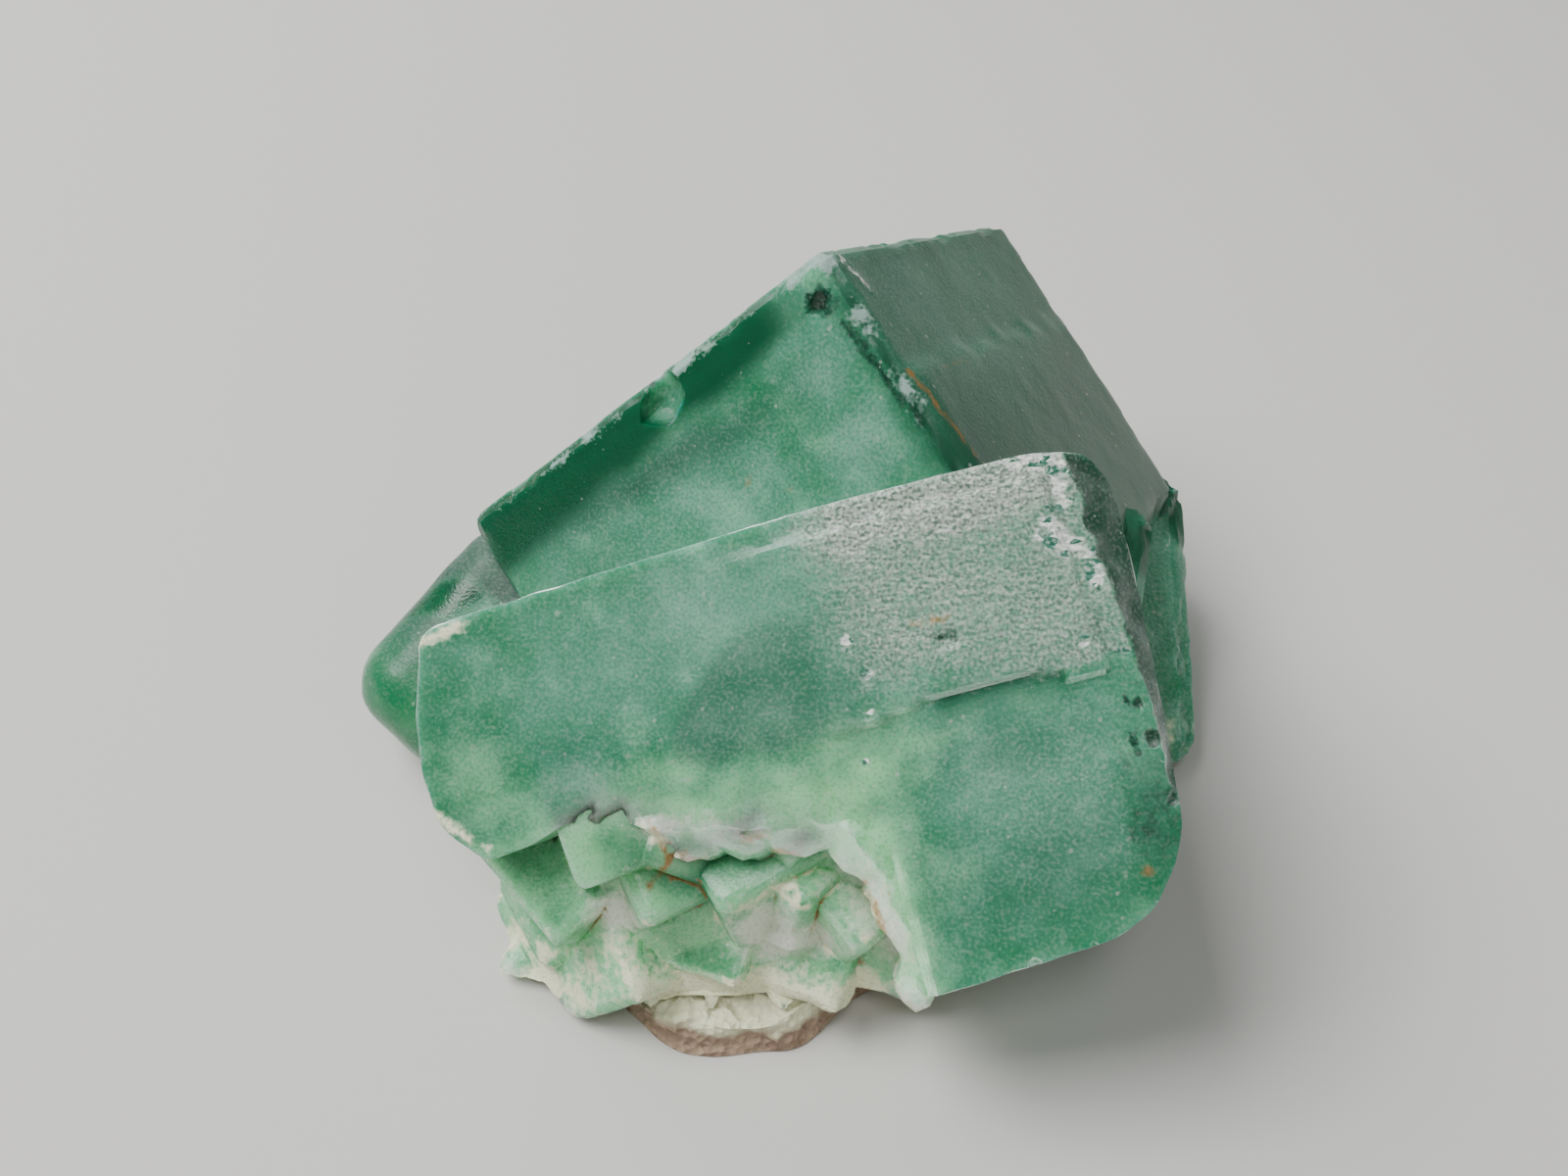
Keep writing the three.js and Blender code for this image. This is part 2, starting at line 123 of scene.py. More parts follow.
# Small cubes on the hidden rear, and the low fields on the tall cube's other faces
REAR_ROWS = [
    {"from": (-14.0, 24.0, 5.5), "to": (-5.0, 38.0, 2.8), "count": 5, "edge": 5.2},
    {"from": (0.5, 39.5, 3.2), "to": (15.0, 34.0, 3.6), "count": 4, "edge": 5.8},
]
REAR_STEPS = [
    {"depth": 0.4, "outline": [(-5.5, -26), (-5.5, -12.5), (-9, -12.5), (-9, -8.6), (-27, -8.6), (-27, -26)]},
    {"depth": 0.5, "outline": [
        (-11.8, -26), (-11.8, -18.5), (-14.6, -18.5), (-14.6, -14.2), (-27, -14.2), (-27, -26),
    ]},
]
FLANK_LAYER = {"height": 0.3, "from_ridge": 1.3, "from_top": 6.8, "size": (22.4, 11.6)}
OVERHANG_LAYER = {"height": 0.4, "from_left": 5.0, "from_top": 3.4, "size": (13.0, 9.5)}

# Chips knocked out of edges: crystal, edge ends on its axes, how many, and their size
CHIPS = [
    {"of": "tall", "from": (-3.0, 0, 0), "to": (-24.0, 0, 0), "count": 11, "size": 0.6},
    {"of": "tall", "from": (0, -1.5, 0), "to": (0, -12.0, 0), "count": 8, "size": 0.5},
    {"of": "tall", "from": (0, 0, -3.0), "to": (0, 0, -22.0), "count": 6, "size": 0.7},
    {"of": "slab", "from": (-0.8, -0.4, 0), "to": (0.0, -17.0, 0), "count": 10, "size": 0.45},
    {"of": "slab", "from": (-29.0, 0.4, 0), "to": (-3.0, 0.8, 0), "count": 10, "size": 0.4},
    {"of": "slab", "from": (-11.0, -21.7, 0), "to": (-3.0, -21.1, 0), "count": 6, "size": 0.45},
]
LEFT_EDGE_CHIP = {"at": (-11.6, -1.0, 0.7), "radius": 1.5}
RIDGE_HOLE = {"at": (-1.7, -2.0, 0.25), "radius": 0.8}

# The host rock, the rings of its outline as shares of its size, the gap under the crystals, and the uneven
# surface on which they grew
ROCK_OUTLINE = [
    (-2.7, 0.1), (-5.4, 0.6), (-8.4, 3.0), (-9.0, 7.6), (-12.4, 10.8), (-11.0, 16.5), (-12.0, 22.4),
    (-7.6, 27.0), (-5.4, 32.0), (2.0, 31.6), (7.4, 34.2), (12.6, 29.6), (17.6, 26.2), (15.6, 19.6),
    (17.4, 14.2), (12.2, 9.8), (8.6, 5.0), (3.4, 3.2), (0.6, 0.6),
]
ROCK_RINGS = {
    "under": (0.3, 0.6, 0.85, 0.97), "side_count": 9,
    "over": (0.985, 0.96, 0.93, 0.89, 0.84, 0.78, 0.7, 0.55, 0.3),
}
ROCK_GAP = 0.12
SEAT = {"centre": (2.0, 17.0), "reach": (12.0, 19.5), "rim_height": 0.8, "rise": 2.6, "ripple": 0.28}


def linear(hex_colour):
    """An sRGB hex colour as linear red, green and blue."""
    parts = [int(hex_colour[i : i + 2], 16) / 255 for i in (1, 3, 5)]
    return tuple(c / 12.92 if c <= 0.04045 else ((c + 0.055) / 1.055) ** 2.4 for c in parts)


def colour_property(name, description, hex_colour):
    return FloatVectorProperty(
        name=name, description=description, default=linear(hex_colour), subtype="COLOR", size=3, min=0, max=1
    )


def length_property(name, description, millimetres):
    """A length, or several where a tuple gives them."""
    words = {"name": name, "description": description, "unit": "LENGTH"}
    if isinstance(millimetres, tuple):
        metres = [each * MM for each in millimetres]
        return FloatVectorProperty(default=metres, size=len(metres), **words)
    return FloatProperty(default=millimetres * MM, min=0, **words)


def power_property(name, description, watts):
    return FloatProperty(name=name, description=description, default=watts, min=0, unit="POWER")


class ClusterSizes(bpy.types.PropertyGroup):
    tall_cube: length_property("Tall cube", "Edges of the tall crystal at the back", (25.3, 19.2, 24.5))
    tall_bevel: length_property("Tall cube's bevel", "How far the tall crystal's edges are worn", 0.6)
    slab_thickness: length_property("Slab thickness", "Thickness of the crystal in front", 12.5)
    slab_bevel: length_property("Slab's bevel", "How far the slab's edges are worn", 0.25)
    layer_height: length_property("Growth layer", "Height of the raised layer on the slab's face", 0.3)
    lobe_radius: length_property("Lobe's radius", "How round the left crystal is worn", 3.0)
    druse_cube: length_property("Druse cube", "Edge of the small cubes on the broken front", 7.6)
    chip_scale: FloatProperty(
        name="Chips", description="Size of the chips, 1 as found", default=1.0, min=0.2, max=2
    )


class ClusterColours(bpy.types.PropertyGroup):
    clear: colour_property("Clear stone", "Clear green fluorite near the surface", "#2fae78")
    depth: colour_property("Depth", "What the light turns to on its way through the stone", "#3fd8a0")
    milk: colour_property("Milky stone", "Clouded fluorite", "#86cab0")
    mint: colour_property("Mint veils", "Yellowish green of the lower slab and the small cubes", "#aaf6ba")
    pale: colour_property("Frosted facets", "Whitish facets and plates of the broken front", "#f0f7e4")
    deep: colour_property("Deep green", "The greenest bands and rims", "#077a52")
    shade: colour_property("Shade", "Dark inner patches", "#3a7360")
    # Painted sheen: this grey stands for the light that the slab's scaly top right mirrors
    silver: colour_property("Silver sheen", "Scaly sheen of the slab's top right", "#a3aea4")
    dust: colour_property("Dust and frost", "Specks of dust and the finest frosting", "#d3dfd0")
    # Painted glints: this near-white stands for light caught by the crumpled flakes at the slab's top right
    flake: colour_property("Foil flakes", "Bright crumpled flakes at the slab's top right", "#ecefe8")
    worn: colour_property("Fracture", "Worn and broken edges", "#0a5a40")
    # Partly painted shade: this dark colour lies in the hole by the tall cube's ridge and in the slab's
    # square pit
    pit: colour_property("Pit", "Holes and the darkest spots", "#1c5643")
    bruise: colour_property("Bruised edge", "Crumbled rims", "#a9c9be")
    crust: colour_property("Crust", "Cream quartz crust between the small cubes", "#e8e8c6")
    stain: colour_property("Iron stain", "Rust in the hollows", "#bf965a")
    rock_dark: colour_property("Rock, dark", "Pinkish grey grains of the host rock", "#86695a")
    rock_pale: colour_property("Rock, pale", "Sugary grains of the host rock", "#c9b596")


class StageSettings(bpy.types.PropertyGroup):
    floor: colour_property("Floor", "Matt paper under the cluster", "#cac9c5")
    key: power_property("Key light", "Power of the broad light high at the left", 3.5)
    front: power_property("Front light", "Power of the weak light low in front", 0.2)
    fill: power_property("Fill light", "Power of the light behind, which glows through the stone", 1.6)
    sheen: power_property("Sheen light", "Power of the small light that the slab mirrors", 0.4)
    sky: FloatProperty(
        name="Room light", description="Strength of the even light all round", default=0.22, min=0
    )


# Where the lights stand, as directions from the middle of the cluster, with distances and sizes in metres
LIGHTS = {
    "key": {"direction": (-0.5, 0.0, 0.86), "distance": 0.5, "size": 0.3},
    "fill": {"direction": (-0.5, 0.75, 0.45), "distance": 0.6, "size": 0.4},
    "front": {"direction": (0.4, -0.85, 0.35), "distance": 0.5, "size": 0.3},
    "sheen": {"direction": (0.02, -0.44, 0.9), "distance": 0.5, "size": 0.1},
}
CLUSTER_MIDDLE = (0, 0, 0.012)

# The view that fits the edges of the crystals: lens and sensor in mm, place in metres, turn in degrees
CAMERA = {"lens": 40.0, "sensor": 36.0, "nearest": 0.005, "place": (0.00024, -0.06449, 0.07568), "turn": 45}

# Half the floor's width in mm
FLOOR_REACH = 1500


# Numbers on whole arrays


def chance(a, b, c=0.0):
    """A repeatable number from 0 to 1 for whole numbers: the fraction of a tall sine wave."""
    wave = np.sin(a * 12.9898 + b * 78.233 + c * 37.719) * 43758.5453
    return wave - np.floor(wave)


def smooth(low, high, value):
    """0 at low, 1 at high, and 3t^2 - 2t^3 between them."""
    t = np.clip((value - low) / (high - low), 0, 1)
    return t * t * (3 - 2 * t)


def noise(points, size, seed):
    """Smooth noise from -1 to 1: chance at the corners of cells of that size, blended by 3t^2 - 2t^3."""
    scaled = points / size
    cell = np.floor(scaled)
    part = smooth(0, 1, scaled - cell)
    total = np.zeros(len(scaled))
    for corner in itertools.product((0, 1), repeat=3):
        weight = np.prod(np.where(corner, part, 1 - part), axis=1)
        at = cell + corner
        total += weight * chance(at[:, 0] + 17 * seed, at[:, 1], at[:, 2])
    return 2 * total - 1


def wander(points, size, seed):
    """Two smooth noises from -1 to 1, side by side, by which places in a plane waver."""
    return np.stack([noise(points, size, seed), noise(points, size, seed + 1)], axis=1)


def nearest_strewn(points, size, seed, gauge):
    """The gauge, up to 1, of the gap to the nearest of points strewn one to a cell of that size."""
    scaled = points / size
    cell = np.floor(scaled)
    nearest = np.ones(len(scaled))
    for step in itertools.product((-1, 0, 1), repeat=3):
        at = cell + step
        drift = [chance(at[:, 0] + seed, at[:, 1] + 31 * k, at[:, 2]) for k in range(3)]
        nearest = np.minimum(nearest, gauge(scaled - at - np.stack(drift, axis=1)))
    return nearest


def scallops(points, size, seed):
    """Shell-like relief from 0 to 1: squared distance to the nearest strewn point."""
    return nearest_strewn(points, size, seed, lambda gap: (gap * gap).sum(axis=1))


def facets(points, size, seed):
    """Relief of small cube corners from 0 to 1: largest step, on leant axes, to the nearest strewn point."""
    lean = turned((35, 40, 15))
    return nearest_strewn(points, size, seed, lambda gap: np.abs(gap @ lean).max(axis=1))


def bounded(at, *limits):
    """1 past every soft limit: smooth steps along axes, each from one place to another, multiplied."""
    share = 1.0
    for axis, low, high in limits:
        share = share * smooth(low, high, at[:, axis])
    return share


def inside(at, outline):
    """Distance from places in a plane to an outline, positive inside it."""
    start = np.array(outline, float)
    along = np.roll(start, -1, axis=0) - start
    offset = at[:, None, :] - start
    share = np.clip((offset * along).sum(axis=2) / (along**2).sum(axis=1), 0, 1)
    gap = np.linalg.norm(offset - share[..., None] * along, axis=2).min(axis=1)
    slope = along[:, 0] / np.where(along[:, 1] == 0, 1e-9, along[:, 1])
    level = (start[:, 1] > at[:, 1:]) != (start[:, 1] + along[:, 1] > at[:, 1:])
    left = at[:, :1] < start[:, 0] + (at[:, 1:] - start[:, 1]) * slope
    return np.where((level & left).sum(axis=1) % 2 == 1, gap, -gap)


def spot(at, middle, reach, lean=0.0):
    """A soft spot, 1 in its middle: the bell curve of an ellipse leaning by an angle in degrees."""
    c, s = math.cos(math.radians(lean)), math.sin(math.radians(lean))
    away = at - np.array(middle)
    u = (away[:, 0] * c + away[:, 1] * s) / reach[0]
    v = (-away[:, 0] * s + away[:, 1] * c) / reach[1]
    return np.exp(-(u * u + v * v))


def streak(at, start, end, width):
    """A soft line, 1 along a segment: the bell curve of the distance to it."""
    start, along = np.array(start, float), np.array(end, float) - np.array(start, float)
    share = np.clip(((at - start) @ along) / (along @ along), 0, 1)
    gap = np.linalg.norm(at - start - share[:, None] * along, axis=1)
    return np.exp(-((gap / width) ** 2))


def rectangle(x, y, width, height):
    return [(x, y), (x + width, y), (x + width, y + height), (x, y + height)]


# Places


def turned(turn):
    """The rotation Rx Ry Rz of three angles in degrees."""
    matrix = np.eye(3)
    for axis, angle in enumerate(np.radians(turn)):
        a, b = (axis + 1) % 3, (axis + 2) % 3
        step = np.eye(3)
        step[a, a] = step[b, b] = math.cos(angle)
        step[a, b], step[b, a] = -math.sin(angle), math.sin(angle)
        matrix = matrix @ step
    return matrix


def placed(points, crystal):
    """From a crystal's axes to those that carry it."""
    return points @ turned(crystal["turn"]).T + np.array(crystal["corner"])


def local(points, crystal):
    """From the axes that carry a crystal to its own."""
    return (points - np.array(crystal["corner"])) @ turned(crystal["turn"])


# Surfaces


def spaced(length, step):
    """Places from -length to 0, a step apart, with a close one beside each end to keep edges sharp."""
    close = min(0.18, length / 8)
    between = np.linspace(-length + close, -close, max(3, round(length / step)))
    return np.concatenate([[-length], between, [0.0]])


def box_skin(spans):
    """The six sides of a box as grids on a lattice of places, welded where they share an edge."""
    counts = [len(span) for span in spans]
    quads = []
    for axis in range(3):
        a, b = (axis + 1) % 3, (axis + 2) % 3
        for end in (0, counts[axis] - 1):
            at = np.empty((counts[a], counts[b], 3), int)
            at[..., axis] = end
            at[..., a], at[..., b] = np.meshgrid(np.arange(counts[a]), np.arange(counts[b]), indexing="ij")
            number = (at[..., 0] * counts[1] + at[..., 1]) * counts[2] + at[..., 2]
            side = np.stack([number[:-1, :-1], number[1:, :-1], number[1:, 1:], number[:-1, 1:]], axis=-1)
            quads.append(side.reshape(-1, 4)[:, :: 1 if end else -1])
    used, quads = np.unique(np.concatenate(quads), return_inverse=True)
    places = np.unravel_index(used, counts)
    return np.stack([span[place] for span, place in zip(spans, places)], axis=1), quads.reshape(-1, 4)


def block(size, bevel, step, seed, relief=None, wear=0.3):
    """A crystal block with its outer corner at the origin.

    Each point of a side moves along the side's normal by its relief, less towards the edges, and a point
    beyond the plane that cuts an edge at the bevel is pressed straight back on to it. The bevel widens
    here and there along the edge, so that it looks worn.
    """
    points, quads = box_skin([spaced(length, step) for length in size])
    size = np.array(size, float)
    moved = points.copy()
    for axis in range(3):
        others = [k for k in range(3) if k != axis]
        for end, outward in ((0.0, 1), (-size[axis], -1)):
            on = points[:, axis] == end
            flat = points[on]
            margin = np.minimum(-flat[:, others], flat[:, others] + size[others]).min(axis=1)
            height = ETCH_DEPTH * (noise(flat, 1.1, seed + axis) + noise(flat, 3.1, seed + axis + 3) - 2)
            if relief:
                height += relief(axis, outward, flat, size)
            moved[on, axis] += outward * height * smooth(0, 0.5, margin)
    half = size / 2
    middle = moved + half
    ragged = noise(points, 1.5, seed + 7) + 0.8 * noise(points, 0.6, seed + 8)
    width = bevel * (1 + wear * np.maximum(ragged, 0))
    for a, b in ((0, 1), (1, 2), (0, 2)):
        over = np.abs(middle[:, a]) + np.abs(middle[:, b]) - (half[a] + half[b] - width)
        over = np.maximum(over, 0) / 2
        middle[:, a] -= np.sign(middle[:, a]) * over
        middle[:, b] -= np.sign(middle[:, b]) * over
    over = np.maximum(np.abs(middle).sum(axis=1) - (half.sum() - 2 * width), 0) / 3
    middle -= np.sign(middle) * over[:, None]
    return middle - half, quads


def rounded_block(size, radius, step, seed):
    """A block worn round: each point goes to the nearest place of the inner box and out by the radius."""
    points, quads = box_skin([spaced(length, step) for length in size])
    half = np.array(size) / 2
    middle = points + half
    inner = np.clip(middle, -half + radius, half - radius)
    out = middle - inner
    out /= np.linalg.norm(out, axis=1, keepdims=True)
    bumps = 0.05 * noise(points, 1.6, seed) + 0.12 * noise(points, 4.2, seed + 1)
    return inner + out * (radius - 0.15 + bumps)[:, None] - half, quads


def terraces(at, seed, count, height, reach):
    """Low growth terraces: right-angled fields with wavering edges, each sunk by a part of the height."""
    flat = np.column_stack([at, np.zeros(len(at))])
    warped = at + 0.16 * wander(flat, 1.3, seed)
    total = np.zeros(len(at))
    for i in range(count):
        middle = reach * np.array([chance(i, seed), chance(i, seed + 1)]) * (-1, -1)
        half = reach * (0.08 + 0.22 * np.array([chance(i, seed + 2), chance(i, seed + 3)]))
        edge = (half - np.abs(warped - middle)).min(axis=1)
        total -= height * chance(i, seed + 4) * smooth(-0.06, 0.06, edge)
    return total


def tall_relief(axis, outward, points, size):
    """Growth fields of the tall cube: sunk steps behind, raised layers to the right and underneath."""
    height = np.zeros(len(points))
    if axis == 1 and outward == 1:
        at = points[:, [0, 2]]
        for step in REAR_STEPS:
            height -= step["depth"] * smooth(-0.12, 0.12, inside(at, step["outline"]))
        height += terraces(at, 40, 12, 0.07, size[[0, 2]])
    if axis == 0 and outward == 1:
        at = points[:, [2, 1]]
        wide, tall = FLANK_LAYER["size"]
        field = rectangle(-FLANK_LAYER["from_ridge"] - wide, -FLANK_LAYER["from_top"] - tall, wide, tall)
        height += FLANK_LAYER["height"] * smooth(-0.8, 0.5, inside(at, field) + 0.3 * noise(points, 1.5, 53))
    if axis == 2 and outward == 1:
        height += terraces(points[:, :2], 60, 8, 0.04, size[:2])
    if axis == 2 and outward == -1:
        at = points[:, :2] + size[:2]
        wide, tall = OVERHANG_LAYER["size"]
        foot = size[1] - OVERHANG_LAYER["from_top"] - tall
        field = rectangle(OVERHANG_LAYER["from_left"], foot, wide, tall)
        height += OVERHANG_LAYER["height"] * smooth(-0.12, 0.12, inside(at, field))
    return height


def slab_relief(points, layer_height):
    """The slab's large face: upper layer, square pit, scaly top right, broken rim over the small cubes."""
    at = points[:, :2]
    waver = wander(points, 0.9, 70)
    edge = inside(at + 0.12 * waver, UPPER_LAYER)
    height = layer_height * smooth(-0.08, 0.08, edge) * smooth(-19.0, -9.5, at[:, 0]) - layer_height
    (pit_x, pit_y), (wide, tall) = FACE_PIT["at"], FACE_PIT["size"]
    pit = rectangle(pit_x - wide / 2, pit_y - tall / 2, wide, tall)
    height -= FACE_PIT["depth"] * smooth(-0.1, 0.1, inside(at + 0.05 * waver, pit))
    height += terraces(at, 72, 14, 0.025, np.array([32.0, 21.0]))
    rim = smooth(-2.2, -0.6, at[:, 1] + 0.5 * noise(points, 1.7, 75))
    scales = smooth(-14.0, -10.0, at[:, 0]) * (0.25 * smooth(-7.5, -2.0, at[:, 1]) + 0.75 * rim)
    leaning = at @ np.array([[0.8, 0.6], [-0.6, 0.8]]) * (1.0, 0.4)
    height -= 0.12 * scales * scallops(np.column_stack([leaning, at[:, 0] * 0]), 0.55, 73)
    height += 0.02 * noise(points, 1.1, 10) + 0.03 * noise(points, 3.3, 11)
    broken = smooth(2.2, 0.3, inside(at, SLAB_OUTLINE) + 0.5 * waver[:, 0])
    broken = broken * bounded(at, (0, -27.5, -25.5), (0, -11.6, -12.4), (1, -9.0, -10.2))
    height -= 0.7 * broken * facets(points, 1.5, 76)
    return height - 0.015 * scallops(points, 0.8, 74)


def resampled(outline, step, mean_over):
    """Places a step apart round a closed outline, its corners softened by a running mean."""
    closed = np.array(list(outline) + [outline[0]], float)
    travelled = np.concatenate([[0], np.cumsum(np.linalg.norm(np.diff(closed, axis=0), axis=1))])
    wanted = np.linspace(0, travelled[-1], round(travelled[-1] / step), endpoint=False)
    at = np.stack([np.interp(wanted, travelled, closed[:, k]) for k in (0, 1)], axis=1)
    return sum(np.roll(at, k - mean_over // 2, axis=0) for k in range(mean_over)) / mean_over


def ring_quads(rings, count):
    """Quads between rings of as many points each, one ring after another."""
    first = np.arange(rings - 1)[:, None] * count
    here = np.arange(count)
    after = (here + 1) % count
    quads = np.stack([first + here, first + after, first + count + after, first + count + here], axis=-1)
    return quads.reshape(-1, 4)


def ring_fan(pole, first, count, outward):
    """Triangles between a pole and the ring that starts at a number."""
    here = np.arange(count)
    after = (here + 1) % count
    fan = np.column_stack([np.full(count, pole), first + here, first + after])
    return fan[:, ::outward]


def slab_walls(bevel):
    """The slab's side walls, closed by two caps: rows of its outline, moved inward where an edge is worn.

    Above the worn level each row lies inward by as much as it lies higher. Beside the small cubes the wall
    leans out with depth, so that the large face passes into them without a cliff.
    """
    outline = resampled(SLAB_OUTLINE, 0.28, 5)
    inward = np.roll(outline, -1, axis=0) - np.roll(outline, 1, axis=0)
    inward = inward[:, ::-1] * (1, -1)
    inward /= np.linalg.norm(inward, axis=1, keepdims=True)
    beside = bounded(outline, (0, -26.5, -25.0), (0, -11.8, -13.0), (1, -10.6, -11.6))
    rows = []
    for level in WALL_LEVELS:
        place = np.column_stack([outline, np.full(len(outline), level)])
        ragged = noise(place * (1, 1, 0), 1.4, 12) + 0.9 * noise(place * (1, 1, 0), 0.55, 13)
        worn = bevel * (1 + 0.4 * ragged)
        inset = np.maximum(level + worn, 0) + 0.05 * noise(place, 1.2, 14) + 0.05
        inset += beside * (1.1 * np.clip(level + 0.7, -1.2, 0.5) + 0.9 * facets(place, 1.6, 77) - 0.35)
        rows.append(np.column_stack([outline + inward * inset[:, None], place[:, 2]]))
    low = np.arange(len(outline))
    caps = [low[::-1].tolist(), (low + (len(rows) - 1) * len(outline)).tolist()]
    return np.concatenate(rows), ring_quads(len(rows), len(outline)).tolist() + caps


def seat_height(x, y):
    """Height of the growth surface: a low dome, flat on top and steep at its rim, with ripples."""
    u = (x - SEAT["centre"][0]) / SEAT["reach"][0]
    v = (y - SEAT["centre"][1]) / SEAT["reach"][1]
    dome = SEAT["rise"] * np.exp(-((u * u + v * v) ** 2))
    ripples = np.sin(x * 1.1 + 0.7 * np.sin(y * 0.8)) * np.cos(y * 0.9 + 0.4 * x)
    return SEAT["rim_height"] + dome + SEAT["ripple"] * ripples


def under_seat(step):
    """Everything under the growth surface, as a block whose top follows it."""
    span = spaced(64.0, step) + 32.0
    points, quads = box_skin([span, span, np.array([-20.0, 0.0])])
    points[:, :2] += SEAT["centre"]
    top = points[:, 2] == 0
    points[top, 2] = seat_height(points[top, 0], points[top, 1]) + 0.08 * noise(points[top], 0.9, 80)
    return points, quads


def worn_wedge():
    """The band worn off the slab's right edge: a ruled plane along the edge, with a fracture's relief."""
    length, width, depth = WORN_EDGE["cutter"]
    step = WORN_EDGE["step"]
    points, quads = box_skin([spaced(length, step), spaced(width, step), np.array([-depth, 0.0])])
    along = points[:, 0] / length + 1
    across = (points[:, 1] / width + 1) * 2.6 - 0.8
    up = points[:, 2] + depth
    level = WORN_EDGE["from"] + 1.0 + (WORN_EDGE["to"] - WORN_EDGE["from"] - 2.0) * along
    inward, back = [a + (b - a) * along for a, b in zip(WORN_EDGE["top"], WORN_EDGE["foot"])]
    slope = np.hypot(inward, back)
    ragged = np.column_stack([level, across * 3, np.zeros(len(level))])
    inner = inward * (1 + 0.16 * noise(ragged, 2.2, 90) + 0.1 * noise(ragged, 0.8, 91))
    x = WORN_EDGE["outside"] - inner + across * inner + up * back / slope
    cut = np.column_stack([x, level, -across * back + up * inward / slope])
    relief = 0.26 * scallops(cut, 1.9, 92) + 0.1 * scallops(cut, 0.7, 93) - 0.2
    relief = np.where(up == 0, relief, 0)
    cut[:, 0] -= relief * back / slope
    cut[:, 2] -= relief * inward / slope
    return cut, quads


def bite(at, radius, seed):
    """A chip with flat cleavage sides: along each direction it reaches to the nearest of nine planes."""
    turns, rings = 18, 10
    angle = 2 * math.pi * np.arange(turns) / turns
    tilt = math.pi * np.arange(1, rings)[:, None] / rings
    flat = np.sin(tilt)
    out = np.stack([flat * np.cos(angle), flat * np.sin(angle), np.cos(tilt) + 0 * angle], axis=-1)
    out = np.concatenate([out.reshape(-1, 3), [[0, 0, 1], [0, 0, -1]]])
    planes = np.arange(9)
    normal = np.stack([chance(planes, seed, k) - 0.5 for k in range(3)], axis=1)
    normal /= np.linalg.norm(normal, axis=1, keepdims=True)
    reach = 0.62 + 0.5 * chance(planes, seed, 5)
    facing = np.maximum(out @ normal.T, 0.05)
    points = out * np.minimum((reach / facing).min(axis=1), 1.25)[:, None] * radius + np.array(at)
    last = (rings - 2) * turns
    faces = ring_quads(rings - 1, turns)[:, ::-1].tolist()
    faces += ring_fan(len(out) - 2, 0, turns, 1).tolist() + ring_fan(len(out) - 1, last, turns, -1).tolist()
    return points, faces


def bite_row(row, scale, seed):
    """Chips along an edge, each a little to one side of it and partly sunk in it."""
    start, end = np.array(row["from"], float), np.array(row["to"], float)
    for i in range(row["count"]):
        along = (i + 0.2 + 0.6 * chance(seed, i)) / row["count"]
        radius = scale * row["size"] * (0.6 + 0.7 * chance(i, seed + 1))
        yield bite(start + (end - start) * along + 0.35 * radius, radius, seed * 31 + i)


def corner_cube(edge, spin, step, seed):
    """A small cube with its corner, not its face, outward along +Z, spun about that line."""
    points, quads = block((edge, edge * 0.92, edge * 0.85), edge * 0.05, step, seed)
    start, up = np.ones(3) / math.sqrt(3), np.array([0, 0, 1.0])
    axis = np.cross(start, up)
    cross = np.array([[0, -axis[2], axis[1]], [axis[2], 0, -axis[0]], [-axis[1], axis[0], 0]])
    tip = np.eye(3) + cross + cross @ cross / (1 + start @ up)
    return points @ (turned((0, 0, spin)) @ tip).T, quads


def druse_cubes(edge):
    """The cubes of the broken front: staggered rows on the bed, each moved, spun and leant by chance.

    What would stand over the slab's large face is pressed down to just under it.
    """
    for row in range(DRUSE["rows"]):
        for column in range(DRUSE["columns"]):
            seed = row * DRUSE["columns"] + column
            drift = [DRUSE["jitter"] * (chance(seed, axis) - 0.5) for axis in (0, 1)]
            x = -(column + 0.45 + 0.5 * (row % 2)) * DRUSE["column_step"] + drift[0]
            y = -(row + 0.25) * DRUSE["row_step"] + drift[1]
            size = edge * (0.8 + 0.4 * chance(seed, 2))
            proud = DRUSE["proud"] * (0.6 + 0.7 * chance(seed, 3))
            points, quads = corner_cube(size, 120 * (chance(seed, 4) - 0.5), MESH_STEP["druse"], seed)
            lean = turned([DRUSE["lean"] * (chance(seed, axis) - 0.5) for axis in (5, 6, 7)])
            points = placed(points @ lean.T + (x, y, proud), DRUSE_BED)
            points[:, 2] = np.minimum(points[:, 2], DRUSE["top"])
            yield placed(points, SLAB), quads


def rear_cubes():
    """Small cubes turned every way, in rows on the hidden rear."""
    for row, line in enumerate(REAR_ROWS):
        start, end = np.array(line["from"]), np.array(line["to"])
        for i in range(line["count"]):
            size = line["edge"] * (0.75 + 0.5 * chance(i, row + 9))
            points, quads = block((size, size * 0.9, size), 0.3, MESH_STEP["side"], i + 20 * row)
            place = {
                "corner": start + (end - start) * i / (line["count"] - 1),
                "turn": [90 * chance(i + 7 * row, axis) for axis in (2, 3, 4)],
            }
            yield placed(points + size / 2, place), quads


# Meshes from surfaces


def new_object(name, points, faces):
    """A mesh object in the scene from points in working millimetres."""
    mesh = bpy.data.meshes.new(name)
    vertices = (np.asarray(points) + ORIGIN_SHIFT) * MM
    mesh.from_pydata(vertices, [], faces if isinstance(faces, list) else faces.tolist())
    mesh.update()
    made = bpy.data.objects.new(name, mesh)
    bpy.context.scene.collection.objects.link(made)
    return made


def combine(base, others, operation):
    """Joins the other closed meshes to base, or cuts from it, one after another, and takes them away."""
    for other in others:
        modifier = base.modifiers.new("combine", "BOOLEAN")
        modifier.operation = operation
        modifier.solver = "MANIFOLD"
        modifier.object = other
        graph = bpy.context.evaluated_depsgraph_get()
        made = bpy.data.meshes.new_from_object(base.evaluated_get(graph))
        base.modifiers.clear()
        old = base.data
        base.data = made
        bpy.data.meshes.remove(old)
        bpy.data.meshes.remove(other.data)


